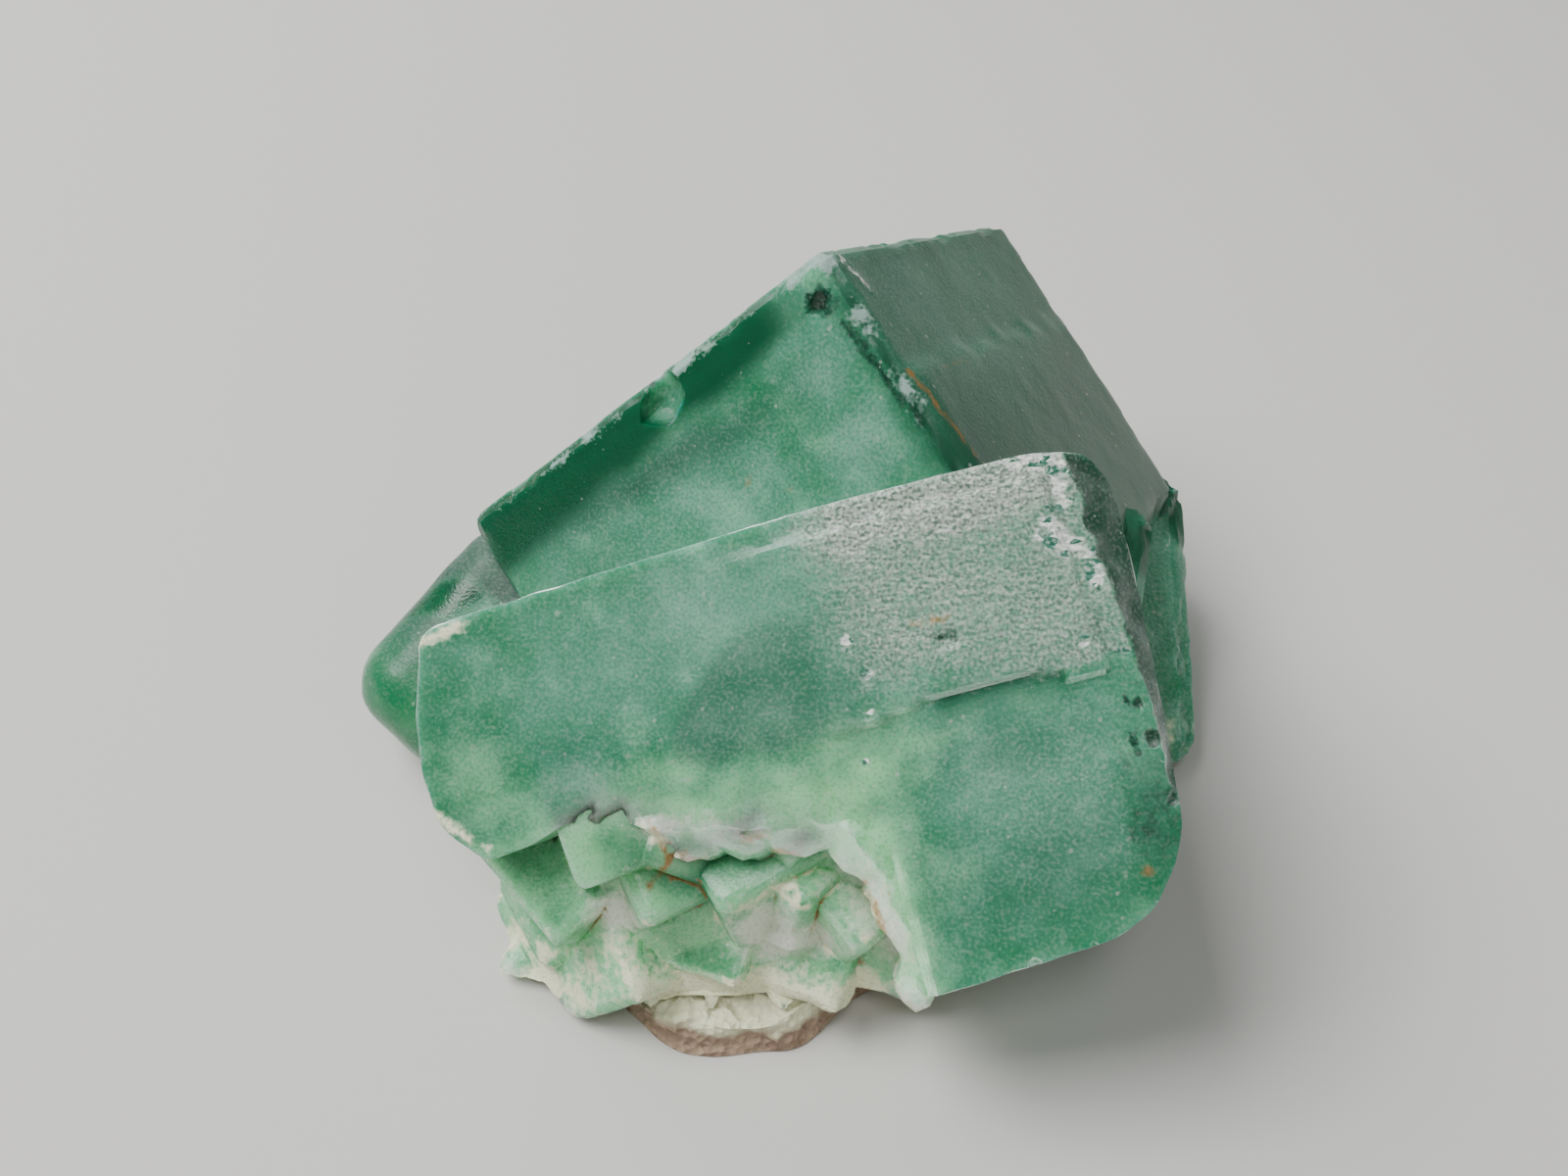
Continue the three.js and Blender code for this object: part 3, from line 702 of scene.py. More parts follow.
def chipped(crystal, place, name, scale):
    """Cuts the rows of chips of that name out of a crystal's edges."""
    for number, row in enumerate(CHIPS):
        if row["of"] == name:
            bites = bite_row(row, scale, number + 1)
            cuts = [new_object("chip", placed(cut, place), faces) for cut, faces in bites]
            combine(crystal, cuts, "DIFFERENCE")


def slab_object(sizes):
    """The slab: a sheet with the large face's relief cut to the slab's outline, its right edge worn off."""
    thickness = sizes.slab_thickness / MM
    (long, high), step = SLAB_SHEET["size"], SLAB_SHEET["step"]
    points, quads = box_skin([spaced(long, step), spaced(high, step), np.array([-thickness, 0.0])])
    points[:, :2] += SLAB_SHEET["beyond"]
    front = points[:, 2] == 0
    points[front, 2] += slab_relief(points[front], sizes.layer_height / MM)
    slab = new_object("fluorite_cluster", placed(points, SLAB), quads)
    walls, faces = slab_walls(sizes.slab_bevel / MM)
    combine(slab, [new_object("outline", placed(walls, SLAB), faces)], "INTERSECT")
    chipped(slab, SLAB, "slab", sizes.chip_scale)
    wedge, faces = worn_wedge()
    combine(slab, [new_object("wedge", placed(wedge, SLAB), faces)], "DIFFERENCE")
    return slab


def tall_object(sizes):
    """The tall cube, with chipped edges, the large round chip at its left edge and the hole by its corner."""
    size = np.array(sizes.tall_cube) / MM
    points, quads = block(size, sizes.tall_bevel / MM, MESH_STEP["tall"], 1, tall_relief)
    tall = new_object("tall_cube", placed(points, TALL), quads)
    chipped(tall, TALL, "tall", sizes.chip_scale)
    for number, chip in enumerate((LEFT_EDGE_CHIP, RIDGE_HOLE)):
        points, faces = bite(chip["at"], chip["radius"], 72 + number)
        combine(tall, [new_object("chip", placed(points, TALL), faces)], "DIFFERENCE")
    return tall


def crystal_object(sizes):
    """All crystals grown together as one closed mesh, cut off along the growth surface."""
    slab = slab_object(sizes)
    combine(slab, [tall_object(sizes)], "UNION")
    step = MESH_STEP["side"]
    points, quads = rounded_block(LEFT_LOBE["size"], sizes.lobe_radius / MM, MESH_STEP["lobe"], 20)
    grown = [(placed(points, LEFT_LOBE), quads)]
    for number, crystal in enumerate(SIDE_CRYSTALS):
        points, quads = block(crystal["size"], crystal["bevel"], step, 21 + number, wear=0.4)
        grown.append((placed(points, crystal), quads))
    points, quads = block(DRUSE_BED["size"], DRUSE_BED["bevel"], step, 30)
    grown.append((placed(placed(points, DRUSE_BED), SLAB), quads))
    grown += itertools.chain(druse_cubes(sizes.druse_cube / MM), rear_cubes())
    combine(slab, [new_object("crystal", points, quads) for points, quads in grown], "UNION")
    combine(slab, [new_object("seat", *under_seat(MESH_STEP["seat"]))], "DIFFERENCE")
    return slab


def rock_object():
    """The host rock: rings of its outline up its sides and in over its top, along the growth surface."""
    outline = resampled(ROCK_OUTLINE, 0.4, 5)
    centre = np.array(SEAT["centre"])
    under = [(share, 0.0) for share in ROCK_RINGS["under"]]
    sides = [(1.0, max(share, 0.04)) for share in np.linspace(0, 1, ROCK_RINGS["side_count"])]
    over = [(share, 1.0) for share in ROCK_RINGS["over"]]
    rings = under + sides + over
    flat = np.concatenate([centre + (outline - centre) * share for share, _ in rings])
    lift = np.repeat([reach for _, reach in rings], len(outline))
    points = np.column_stack([flat, lift * (seat_height(flat[:, 0], flat[:, 1]) - ROCK_GAP)])
    wave = np.sin(1.1 * points[:, 0] + 1.3 * points[:, 2]) + np.sin(1.3 * points[:, 1] - 1.7 * points[:, 2])
    lean = 1 - 0.02 * lift + 0.008 * wave
    grain = 0.22 * noise(points, 1.1, 100) + 0.14 * noise(points, 0.5, 101) - 0.3 * scallops(points, 0.9, 102)
    away = points[:, :2] - centre
    out = away / np.linalg.norm(away, axis=1, keepdims=True)
    points[:, :2] = centre + away * lean[:, None] + out * (grain * np.minimum(lift * 4, 1))[:, None]
    points[:, 2] = np.maximum(points[:, 2] + np.where(lift == 1, 0.7 * grain, 0), 0)
    poles = [[*centre, 0.0], [*centre, seat_height(*centre) - ROCK_GAP]]
    count = len(outline)
    low, high, last = len(points), len(points) + 1, (len(rings) - 1) * count
    faces = ring_quads(len(rings), count).tolist() + ring_fan(low, 0, count, -1).tolist()
    faces += ring_fan(high, last, count, 1).tolist()
    return new_object("host_rock", np.concatenate([points, poles]), faces)


# Where each finish lies on the crystals


def mesh_arrays(mesh):
    """Vertex places in working millimetres, vertex normals, and edges."""
    places = np.empty(len(mesh.vertices) * 3, np.float32)
    mesh.vertices.foreach_get("co", places)
    normals = np.empty(len(mesh.vertices) * 3, np.float32)
    mesh.vertex_normals.foreach_get("vector", normals)
    edges = np.empty(len(mesh.edges) * 2, np.int32)
    mesh.edges.foreach_get("vertices", edges)
    points = places.reshape(-1, 3).astype(float) / MM - ORIGIN_SHIFT
    return points, normals.reshape(-1, 3).astype(float), edges.reshape(-1, 2)


def stand_out(points, normals, edges, rounds):
    """How far each place stands out: its step along the normal from the mean of the places around it."""
    count = np.maximum(np.bincount(edges.ravel(), minlength=len(points)), 1)
    mean = points
    for _ in range(rounds):
        total = [
            np.bincount(edges[:, 0], mean[edges[:, 1], k], len(points))
            + np.bincount(edges[:, 1], mean[edges[:, 0], k], len(points))
            for k in range(3)
        ]
        mean = np.stack(total, axis=1) / count[:, None]
    return ((points - mean) * normals).sum(axis=1)


# The marks on a face: finish, strength, and the spot or streak that it takes up on the crystal's axes. Clouds
# lie on places that waver, the others where they are. A window is a small cube's clear facet.
SLAB_CLOUDS = [
    ("mint", 0.5, spot, (-12.5, -15.5), (2.2, 4.5)),
    ("mint", 0.35, spot, (-29.5, -8.0), (2.5, 3.0)),
    ("milk", 0.45, spot, (-17.0, -2.6), (7.0, 2.4), 10),
    ("milk", 0.2, spot, (-4.5, -13.2), (3.5, 2.5), -20),
    ("milk", 0.15, spot, (-5.5, -15.5), (5.0, 4.5), -20),
    ("shade", 0.3, spot, (-5.0, -17.5), (6.0, 2.5), 8),
    ("shade", 0.25, spot, (-6.0, -12.0), (3.0, 1.2), 5),
]
SLAB_MARKS = [
    # Crumpled flakes painted near-white as glints of light, and smaller painted glints
    ("flake", 1.0, streak, (-3.0, 0.2), (-0.9, -0.1), 0.5),
    ("flake", 1.0, streak, (-0.9, -0.2), (-0.9, -1.9), 0.5),
    ("flake", 1.0, streak, (-2.0, -3.0), (-0.4, -4.9), 0.75),
    ("flake", 1.0, spot, (-0.5, -5.8), (0.35, 0.3)),
    ("flake", 1.0, spot, (-1.7, -8.2), (0.35, 0.25)),
    ("flake", 1.0, spot, (-0.3, -9.1), (0.4, 0.3)),
    ("flake", 0.8, spot, (-11.2, -7.3), (0.5, 0.45)),
    ("flake", 0.8, spot, (-11.6, -8.8), (0.5, 0.4)),
    ("flake", 1.0, spot, (-11.8, -5.6), (0.3, 0.5)),
    ("flake", 1.0, spot, (-12.2, -10.9), (0.25, 0.35)),
    ("pit", 0.8, spot, (-0.6, -11.1), (0.25, 0.3)),
    ("pit", 0.7, streak, (-0.8, -12.6), (-0.7, -13.4), 0.22),
    # painted shade in the square pit
    ("pit", 0.55, spot, (-7.5, -6.5), (0.75, 0.5)),
    ("stain", 0.55, streak, (-8.7, -5.6), (-7.2, -5.7), 0.3),
    ("stain", 0.6, spot, (-1.7, -18.4), (0.5, 0.4)),
    ("crust", 0.8, streak, (-31.2, -0.6), (-28.9, -0.3), 0.3),
    ("crust", 0.7, streak, (-32.3, -8.3), (-30.0, -10.9), 0.3),
    ("crust", 0.7, streak, (-30.0, -10.9), (-27.0, -10.9), 0.3),
]
TALL_CLOUDS = [
    ("milk", 0.5, spot, (-3.4, -4.3), (1.6, 1.4)),
    ("milk", 0.55, spot, (-3.8, -8.5), (1.9, 1.1), 30),
    ("milk", 0.35, streak, (-13.1, -5.8), (-11.0, -8.5), 0.7),
    ("milk", 0.25, spot, (-11.5, -6.5), (5.0, 2.4), -12),
    ("shade", 0.65, spot, (-14.0, -3.9), (8.0, 0.9), -4),
    ("shade", 0.2, spot, (-19.8, -6.5), (4.0, 2.0)),
]
TALL_MARKS = [
    # painted shade in the hole by the ridge
    ("pit", 1.0, spot, (-1.6, -2.0), (0.9, 0.7)),
    ("pit", 0.65, streak, (-1.1, -3.4), (-0.5, -9.1), 0.3),
    ("stain", 0.5, spot, (-9.5, -6.9), (0.5, 0.25)),
    ("stain", 0.4, spot, (-8.0, -8.2), (0.7, 0.3)),
]
FLANK_MARKS = [
    ("milk", 0.6, spot, (-3.3, -6.8), (2.4, 0.9), 8),
    ("milk", 0.5, spot, (-4.0, -8.0), (4.5, 6.0)),
    # a streak painted near-white as a glint
    ("flake", 0.8, streak, (-0.2, -0.9), (-2.6, -2.3), 0.35),
    ("stain", 0.8, streak, (-6.9, -0.8), (-11.6, -1.7), 0.2),
    ("stain", 0.5, streak, (-7.1, -3.9), (-7.4, -7.3), 0.25),
]
DRUSE_CLOUDS = [
    ("pale", 1.1, spot, (-6.4, -6.9), (1.5, 2.2)),
    ("pale", 1.0, streak, (-9.6, 0.4), (-6.5, 0.5), 0.8),
    ("pale", 1.0, spot, (-13.1, -4.2), (1.3, 1.3)),
    ("pale", 1.0, spot, (-4.3, -8.1), (1.0, 0.9)),
    ("pale", 1.0, spot, (-0.7, -9.7), (0.9, 1.0)),
    ("pale", 0.6, spot, (-1.2, -6.0), (1.4, 2.6)),
    ("window", 1.0, spot, (-11.3, -0.4), (1.6, 1.4)),
    ("window", 1.0, spot, (-8.4, -2.6), (1.6, 1.7)),
    ("window", 0.8, spot, (-5.7, -2.3), (1.2, 1.2)),
    ("crust", 0.7, streak, (-10.5, -9.2), (-3.0, -11.4), 1.1),
    ("crust", 0.6, streak, (-13.6, -6.0), (-12.0, -9.0), 1.0),
    ("crust", 0.7, streak, (-10.2, 0.8), (-9.4, -0.5), 0.3),
    ("crust", 0.6, streak, (-7.0, -4.6), (-4.6, -4.2), 0.4),
    ("stain", 1.0, spot, (-11.6, 1.6), (0.7, 0.5)),
    ("stain", 0.9, spot, (-5.2, -1.0), (0.9, 0.4)),
    ("stain", 0.9, streak, (-9.8, 1.0), (-9.3, -1.4), 0.22),
    ("stain", 0.9, streak, (-9.3, -1.4), (-10.6, -2.6), 0.22),
    ("stain", 1.0, spot, (-5.2, -6.8), (0.2, 0.2)),
]


def marked(*fields):
    """The share of each finish by name, from places and the marks that lie on them."""
    shares = {}
    for at, marks in fields:
        for name, strength, kind, *shape in marks:
            shares[name] = shares.get(name, 0) + strength * kind(at, *shape)
    return shares


def slab_finishes(points, at):
    """Shares of the finishes on the slab's large face, placed on its axes."""
    flat = at[:, :2]
    soft = flat + 0.35 * wander(points, 1.6, 110)
    x, y = soft.T
    found = marked((soft, SLAB_CLOUDS), (flat, SLAB_MARKS))
    veil = 0.5 + 0.5 * noise(np.column_stack([x * 0.3, y + 0.12 * x, at[:, 2]]), 0.9, 119)
    found["mint"] += 0.9 * (0.4 + 0.6 * veil) * spot(soft, (-15.0, -11.2), (6.5, 1.9), 6)
    found["mint"] += 0.75 * (0.5 + 0.5 * veil) * spot(soft, (-22.5, -9.6), (4.2, 1.4), 4)
    found["milk"] -= 0.15 * smooth(-25.5, -31.5, x + 0.25 * y)
    found["milk"] -= 0.2 * bounded(soft, (0, -11.0, -8.0), (1, -15.0, -19.0))
    # Painted shade: a deep green band just under the edge of the raised layer, where its step faces down
    ledge_painted_shade = smooth(-0.05, 0.1, -inside(flat, UPPER_LAYER)) * np.exp(-np.maximum(-9.1 - flat[:, 1], 0) / 0.7)
    ledge_painted_shade = ledge_painted_shade * bounded(flat, (0, -9.2, -8.3), (0, -2.2, -2.8), (1, -8.4, -8.8))
    corner = bounded(flat, (0, -2.4, -0.6), (1, -13.0, -14.2))
    found["deep"] = 0.1 * smooth(-28.5, -33.5, x + 0.3 * y) + 0.35 * corner + 0.9 * ledge_painted_shade
    inner = smooth(-0.35, 0.35, inside(soft, DARK_PATCH)) * bounded(flat, (0, -9.0, -15.0), (1, -3.0, -5.0))
    found["shade"] += 0.4 * inner
    # Painted sheen: silver grey for the light the scaly top right mirrors, most along the top edge, faint low
    # right
    scaly = smooth(-15.5, -9.5, x) * smooth(-13.5, -9.0, y + 0.3 * x) * smooth(-9.6, -8.7, y)
    scaly = np.maximum(scaly, 0.35 * spot(soft, (-4.0, -14.0), (5.5, 4.5), -25))
    rim = smooth(-2.4, -0.9, flat[:, 1] + 0.5 * noise(points, 1.4, 121))
    found["silver"] = scaly * (0.62 + 0.1 * noise(points, 1.9, 120) + 0.4 * rim)
    return found


def tall_finishes(points, at):
    """Shares of the finishes on the tall cube's front face, placed on its axes."""
    flat = at[:, :2]
    soft = flat + 0.3 * wander(points, 1.5, 130)
    found = marked((soft, TALL_CLOUDS), (flat, TALL_MARKS))
    band = smooth(0.4, -0.4, flat[:, 1]) * smooth(-3.4, -2.2, soft[:, 1] - 0.06 * (soft[:, 0] + 12))
    beside_ridge = bounded(flat, (0, -1.9, -0.6), (1, -1.0, -3.0))
    found["deep"] = band * smooth(-1.5, -5.0, flat[:, 0]) + 0.6 * beside_ridge
    return found


def flank_finishes(at):
    """Shares of the finishes on the tall cube's right face, placed on its axes, with veils that fall."""
    found = marked((at[:, 1:], FLANK_MARKS))
    falling = noise(np.column_stack([at[:, 0], at[:, 1] * 0.25, at[:, 2] + 0.4 * at[:, 1]]), 2.4, 132)
    found["milk"] += 0.25 * falling - 0.1 - 0.4 * smooth(-7.0, -12.0, at[:, 1])
    found["shade"] = 0.4 + 0.1 * falling
    found["deep"] = 0.3 - 0.2 * falling + 0.4 * bounded(at, (1, -1.8, -0.6), (2, -3.0, -5.0))
    found["deep"] += 0.6 * smooth(-6.0, -12.0, at[:, 1]) + 0.6 * smooth(-17.0, -21.0, at[:, 2])
    return found


def druse_finishes(points, at, facet):
    """Shares of the finishes on the small cubes of the broken front, placed on the axes of their bed."""
    found = marked((at[:, :2] + 0.25 * wander(points, 0.8, 150), DRUSE_CLOUDS))
    window = found.pop("window")
    found["pale"] = (found["pale"] + 0.25 * smooth(0.1, 0.5, facet)) * (1 - 0.8 * np.minimum(window, 1))
    found["mint"] = 0.75 + 0.5 * facet - 0.5 * window
    return found | {"deep": 0.35 * window, "milk": -0.3}


def regions(points, slab_at, tall_at):
    """Soft masks of what has finishes of its own.

    They are the slab's face, the broken front, the wall beside that, the tall cube's front and right face,
    and the left lobe.
    """
    within = inside(slab_at[:, :2], SLAB_OUTLINE)
    druse = smooth(-1.2, 0.2, -within) * bounded(slab_at, (0, -10.5, -12.0), (1, -9.5, -10.5), (2, 1.5, -0.5))
    front = smooth(-0.9, -0.4, within) * bounded(slab_at, (2, -1.2, -0.7), (2, 1.2, 0.8)) * (1 - druse)
    beside = bounded(slab_at, (0, -28.0, -26.0), (0, -11.4, -12.2), (1, -9.0, -10.4), (2, -2.5, -1.8))
    tall = bounded(tall_at, (2, -0.7, -0.3), (2, 1.0, 0.6)) * (1 - front)
    flank = bounded(tall_at, (0, -0.7, -0.3), (0, 1.0, 0.6)) * (1 - front)
    from_middle = np.abs(local(points, LEFT_LOBE) + np.array(LEFT_LOBE["size"]) / 2).max(axis=1)
    lobe = smooth(7.5, 6.0, from_middle) * (1 - tall) * (1 - front)
    return front, druse, beside * smooth(2.2, 0.9, within), tall, flank, lobe


def worn_band(points, slab_at):
    """The share of worn stone: the band along the slab's right edge."""
    line = -1.55 + 0.06 * (slab_at[:, 1] + 10.0)
    worn = bounded(slab_at, (0, 2.6, 2.0), (1, -18.5, -17.0), (2, -0.25, -0.5), (2, -3.2, -2.0))
    return worn * smooth(-0.2, 0.2, slab_at[:, 0] - line)


def bruised_rims(points, tall_at, stand):
    """The shares of bruised stone along the tall cube's left edge and ridge, and on all that stands out."""
    crumbs = 0.45 + 0.5 * noise(points, 1.1, 123) + 0.4 * noise(points, 0.5, 124)
    rim = np.exp(-((np.hypot(tall_at[:, 1], tall_at[:, 2]) / 0.75) ** 2))
    rim = rim * bounded(tall_at, (0, -26, -24), (0, 1.0, 0.3))
    ridge = np.exp(-((np.hypot(tall_at[:, 0], tall_at[:, 2]) / 0.7) ** 2))
    rim += ridge * bounded(tall_at, (1, -11.0, -9.0), (1, 1.0, 0.0))
    return 1.1 * np.minimum(rim, 0.9) * crumbs, 0.5 * smooth(0.05, 0.15, stand) * crumbs


def crust_share(points, slab_at, stand, druse):
    """Crust in the seams and on the ragged edges between the small cubes, and round the foot of the front."""
    speckle = noise(points, 1.3, 115) + 0.5 * noise(points, 0.5, 117)
    below = smooth(-0.9, -1.7, slab_at[:, 2])
    seam = smooth(-0.03, -0.10, stand) * smooth(0.0, 0.8, speckle) * (0.35 + 0.65 * below)
    ragged = (0.3 + 0.5 * below) * smooth(0.05, 0.12, stand) * smooth(-0.1, 0.4, speckle)
    foot = smooth(4.2, 2.2, points[:, 2] + 1.2 * speckle) * smooth(24, 14, points[:, 1])
    return np.maximum(druse * np.maximum(seam, ragged), foot * (0.55 + 0.6 * noise(points, 1.2, 125)))


def finishes(points, normals, edges):
    """The share of each finish at each place, from 0 to 1, by name."""
    slab_at, tall_at = local(points, SLAB), local(points, TALL)
    front, druse, beside, tall, flank, lobe = regions(points, slab_at, tall_at)
    facet = noise(normals * 2.4 + points * 0.05, 1.0, 118)
    cloud = noise(points, 4.0, 112) + 0.6 * noise(points, 1.7, 113) + 0.35 * noise(points, 0.7, 114)
    high, low = smooth(6.0, 10.0, points[:, 2]), smooth(9.0, 5.0, points[:, 2])
    found = {name: np.zeros(len(points)) for name in FINISHES}
    found["milk"] += 0.42 + 0.13 * cloud
    for region, shares in (
        (front, slab_finishes(points, slab_at)),
        (tall, tall_finishes(points, tall_at)),
        (flank, flank_finishes(tall_at)),
        (druse, druse_finishes(points, local(slab_at, DRUSE_BED), facet)),
        (lobe, {"milk": -0.5, "shade": high, "mint": 0.2 * low, "deep": 0.6 * low}),
        (beside, {"mint": 0.4}),
    ):
        for name, share in shares.items():
            found[name] += region * share
    stand = stand_out(points, normals, edges, 3)
    rims, standing = bruised_rims(points, tall_at, stand)
    found["bruise"] += rims * (1 - front) + standing * (1 - 0.5 * front) * (1 - druse)
    worn = worn_band(points, slab_at)
    for name in ("bruise", "silver", "flake", "milk"):
        found[name] *= 1 - 0.85 * worn
    found["worn"] += worn * (0.9 + 0.2 * noise(points, 1.2, 122))
    found["crust"] += crust_share(points, slab_at, stand, druse)
    rust = smooth(-0.03, -0.10, stand) * smooth(-0.05, 0.45, noise(points, 2.2, 116))
    found["stain"] += druse * rust
    return {name: np.clip(share, 0, 1).astype(np.float32) for name, share in found.items()}


def crusted(points, normals, crust):
    """The surface where crust covers it, eaten back along the normal into knobs: squared shell relief."""
    knobs = 0.28 * scallops(points, 1.0, 140) + 0.14 * scallops(points, 0.5, 141)
    return points - normals * (crust * knobs)[:, None] * smooth(0.3, 1.0, points[:, 2])[:, None]


# Materials

# Sizes of the textures in mm. The etched grain, scales, frost and dust of the real stone are too fine to show
# in the render, so they are drawn this coarse.
FLAKE_WIDTH = 0.3
SCALE_WIDTH = 0.24
ETCH_GRAIN = 0.16
FROST_GRAIN = 0.15
DUST_SPACING = 0.8
FACE_WAVES = 0.7
ROCK_GRAIN = 0.45
ROCK_PATCHES = 1.6

# The clear stone: refraction, absorption per metre, and how far and how evenly light spreads in milky parts
REFRACTION = 1.434
ABSORPTION = 300.0
MILKY_REACH = 1.5
MILKY_SPREAD = (0.85, 1.0, 0.95)

# How the clear stone and each finish on it look: how much light it lets through and how rough it is. The
# grain in mm breaks a finish up, between the sums of share and grain where it starts and where it is full.
# Later ones lie over earlier ones.
CLEAR_STONE = {"clear": 0.55, "rough": 0.28}
FINISHES = {
    "milk": {"grain": 2.0, "from": 0.55, "full": 1.45, "clear": 0.4, "rough": 0.38},
    "mint": {"grain": 2.0, "from": 0.55, "full": 1.4, "clear": 0.35, "rough": 0.25},
    "pale": {"grain": 0.4, "from": 0.6, "full": 1.25, "clear": 0.2, "rough": 0.25},
    "deep": {"clear": 0.6, "rough": 0.22},
    "shade": {"clear": 0.55, "rough": 0.45},
    "worn": {"grain": 0.4, "from": 0.7, "full": 1.1, "clear": 0.5, "rough": 0.42},
    # Painted sheen: the grey of the scaly top right
    "silver": {"grain": SCALE_WIDTH, "from": 0.7, "full": 1.35, "clear": 0.15, "rough": 0.27},
    "bruise": {"grain": SCALE_WIDTH, "from": 0.8, "full": 1.05, "clear": 0.35, "rough": 0.55},
    # Painted shade in the holes, and dark spots
    "pit": {"grain": 0.4, "from": 0.8, "full": 1.15, "clear": 0.5, "rough": 0.2},
    # Painted glints on the crumpled flakes
    "flake": {"grain": FLAKE_WIDTH, "from": 1.0, "full": 1.2, "clear": 0.1, "rough": 0.25},
    "stain": {"grain": 0.4, "from": 0.8, "full": 1.25},
    "crust": {"grain": 0.4, "from": 0.75, "full": 1.15, "clear": 0.0, "rough": 0.85},
}


def add(tree, kind, inputs, out=0, **settings):
    """Adds a node with its settings, feeds each input a value or a socket, and hands back one output."""
    made = tree.nodes.new("ShaderNode" + kind)
    for name, value in settings.items():
        setattr(made, name, value)
    for name, source in inputs.items():
        if isinstance(source, bpy.types.NodeSocket):
            tree.links.new(source, made.inputs[name])
        else:
            made.inputs[name].default_value = source
    return made.outputs[out] if made.outputs else None


def new_material(name):
    material = bpy.data.materials.new(name)
    material.use_nodes = True
    material.node_tree.nodes.clear()
    return material, material.node_tree


def finish_shares(tree, places, slanted):
    """Each finish's share, broken up by its grain, soft noise or the flakes' flat cells, and those cells."""
    cells = add(tree, "TexVoronoi", {"Vector": slanted, "Scale": 1 / (FLAKE_WIDTH * MM)}, "Color")
    share, grains = {}, {FLAKE_WIDTH: cells}
    for name, finish in FINISHES.items():
        share[name] = add(tree, "Attribute", {}, "Fac", attribute_name=name)
        if "grain" in finish:
            size = finish["grain"]
            if size not in grains:
                texture = {"Vector": places, "Scale": 1 / (size * MM), "Detail": 2.0}
                grains[size] = add(tree, "TexNoise", texture)
            total = add(tree, "Math", {0: share[name], 1: grains[size]}, operation="ADD")
            limits = {"Value": total, "From Min": finish["from"], "From Max": finish["full"]}
            share[name] = add(tree, "MapRange", limits)
    return share, cells


def frosting(tree, places, share):
    """Shares of dark etch pits, pale frost and specks of dust, with none of the first two on deep green.
    Where the painted silver sheen lies, the first two count up to three times: there they are painted dark
    speckle and painted glints.
    """
    sugar = add(tree, "TexNoise", {"Vector": places, "Scale": 1 / (FROST_GRAIN * MM), "Detail": 0.0})
    etched = add(tree, "Math", {0: 1.0, 1: share["deep"]}, operation="SUBTRACT")
    etched = add(tree, "Math", {0: share["silver"], 1: 2.0, 2: etched}, operation="MULTIPLY_ADD")
    found = []
    for low, high in ((0.48, 0.3), (0.52, 0.72)):
        speck = add(tree, "MapRange", {"Value": sugar, "From Min": low, "From Max": high, "To Max": 0.2})
        found.append(add(tree, "Math", {0: speck, 1: etched}, operation="MULTIPLY"))
    dust = add(tree, "TexVoronoi", {"Vector": places, "Scale": 1 / (DUST_SPACING * MM)}, "Distance")
    few = add(tree, "Math", {0: dust.node.outputs["Color"], 1: 0.16}, operation="MULTIPLY")
    near = add(tree, "Math", {0: few, 1: dust}, operation="SUBTRACT")
    speck = add(tree, "MapRange", {"Value": near, "From Min": 0.0, "From Max": 0.03})
    return *found, add(tree, "Math", {0: speck, 1: 0.6}, operation="MULTIPLY")


def etched_normal(tree, places, slanted):
    """Etched sugar grain, crumpled scales where the face has its painted silver sheen or its flakes, and
    broad waves.
    """
    silver, flake = [add(tree, "Attribute", {}, "Fac", attribute_name=name) for name in ("silver", "flake")]
    shine = add(tree, "Math", {0: silver, 1: silver}, operation="MULTIPLY")
    shine = add(tree, "Math", {0: shine, 1: flake}, operation="MAXIMUM")
    grain = add(tree, "TexNoise", {"Vector": places, "Scale": 1 / (ETCH_GRAIN * MM), "Detail": 1.0})
    scales = add(tree, "TexVoronoi", {"Vector": slanted, "Scale": 1 / (SCALE_WIDTH * MM)})
    scales = add(tree, "Math", {0: scales, 1: shine}, operation="MULTIPLY")
    waves = add(tree, "TexNoise", {"Vector": places, "Scale": 1 / (FACE_WAVES * MM), "Detail": 2.0})
    before = {}
    for height, depth, strength in ((grain, 0.02, 0.9), (scales, 0.12, 1.0), (waves, 0.03, 0.6)):
        relief = {"Height": height, "Distance": depth * MM, "Strength": strength, **before}
        before = {"Normal": add(tree, "Bump", relief)}
    return before["Normal"]


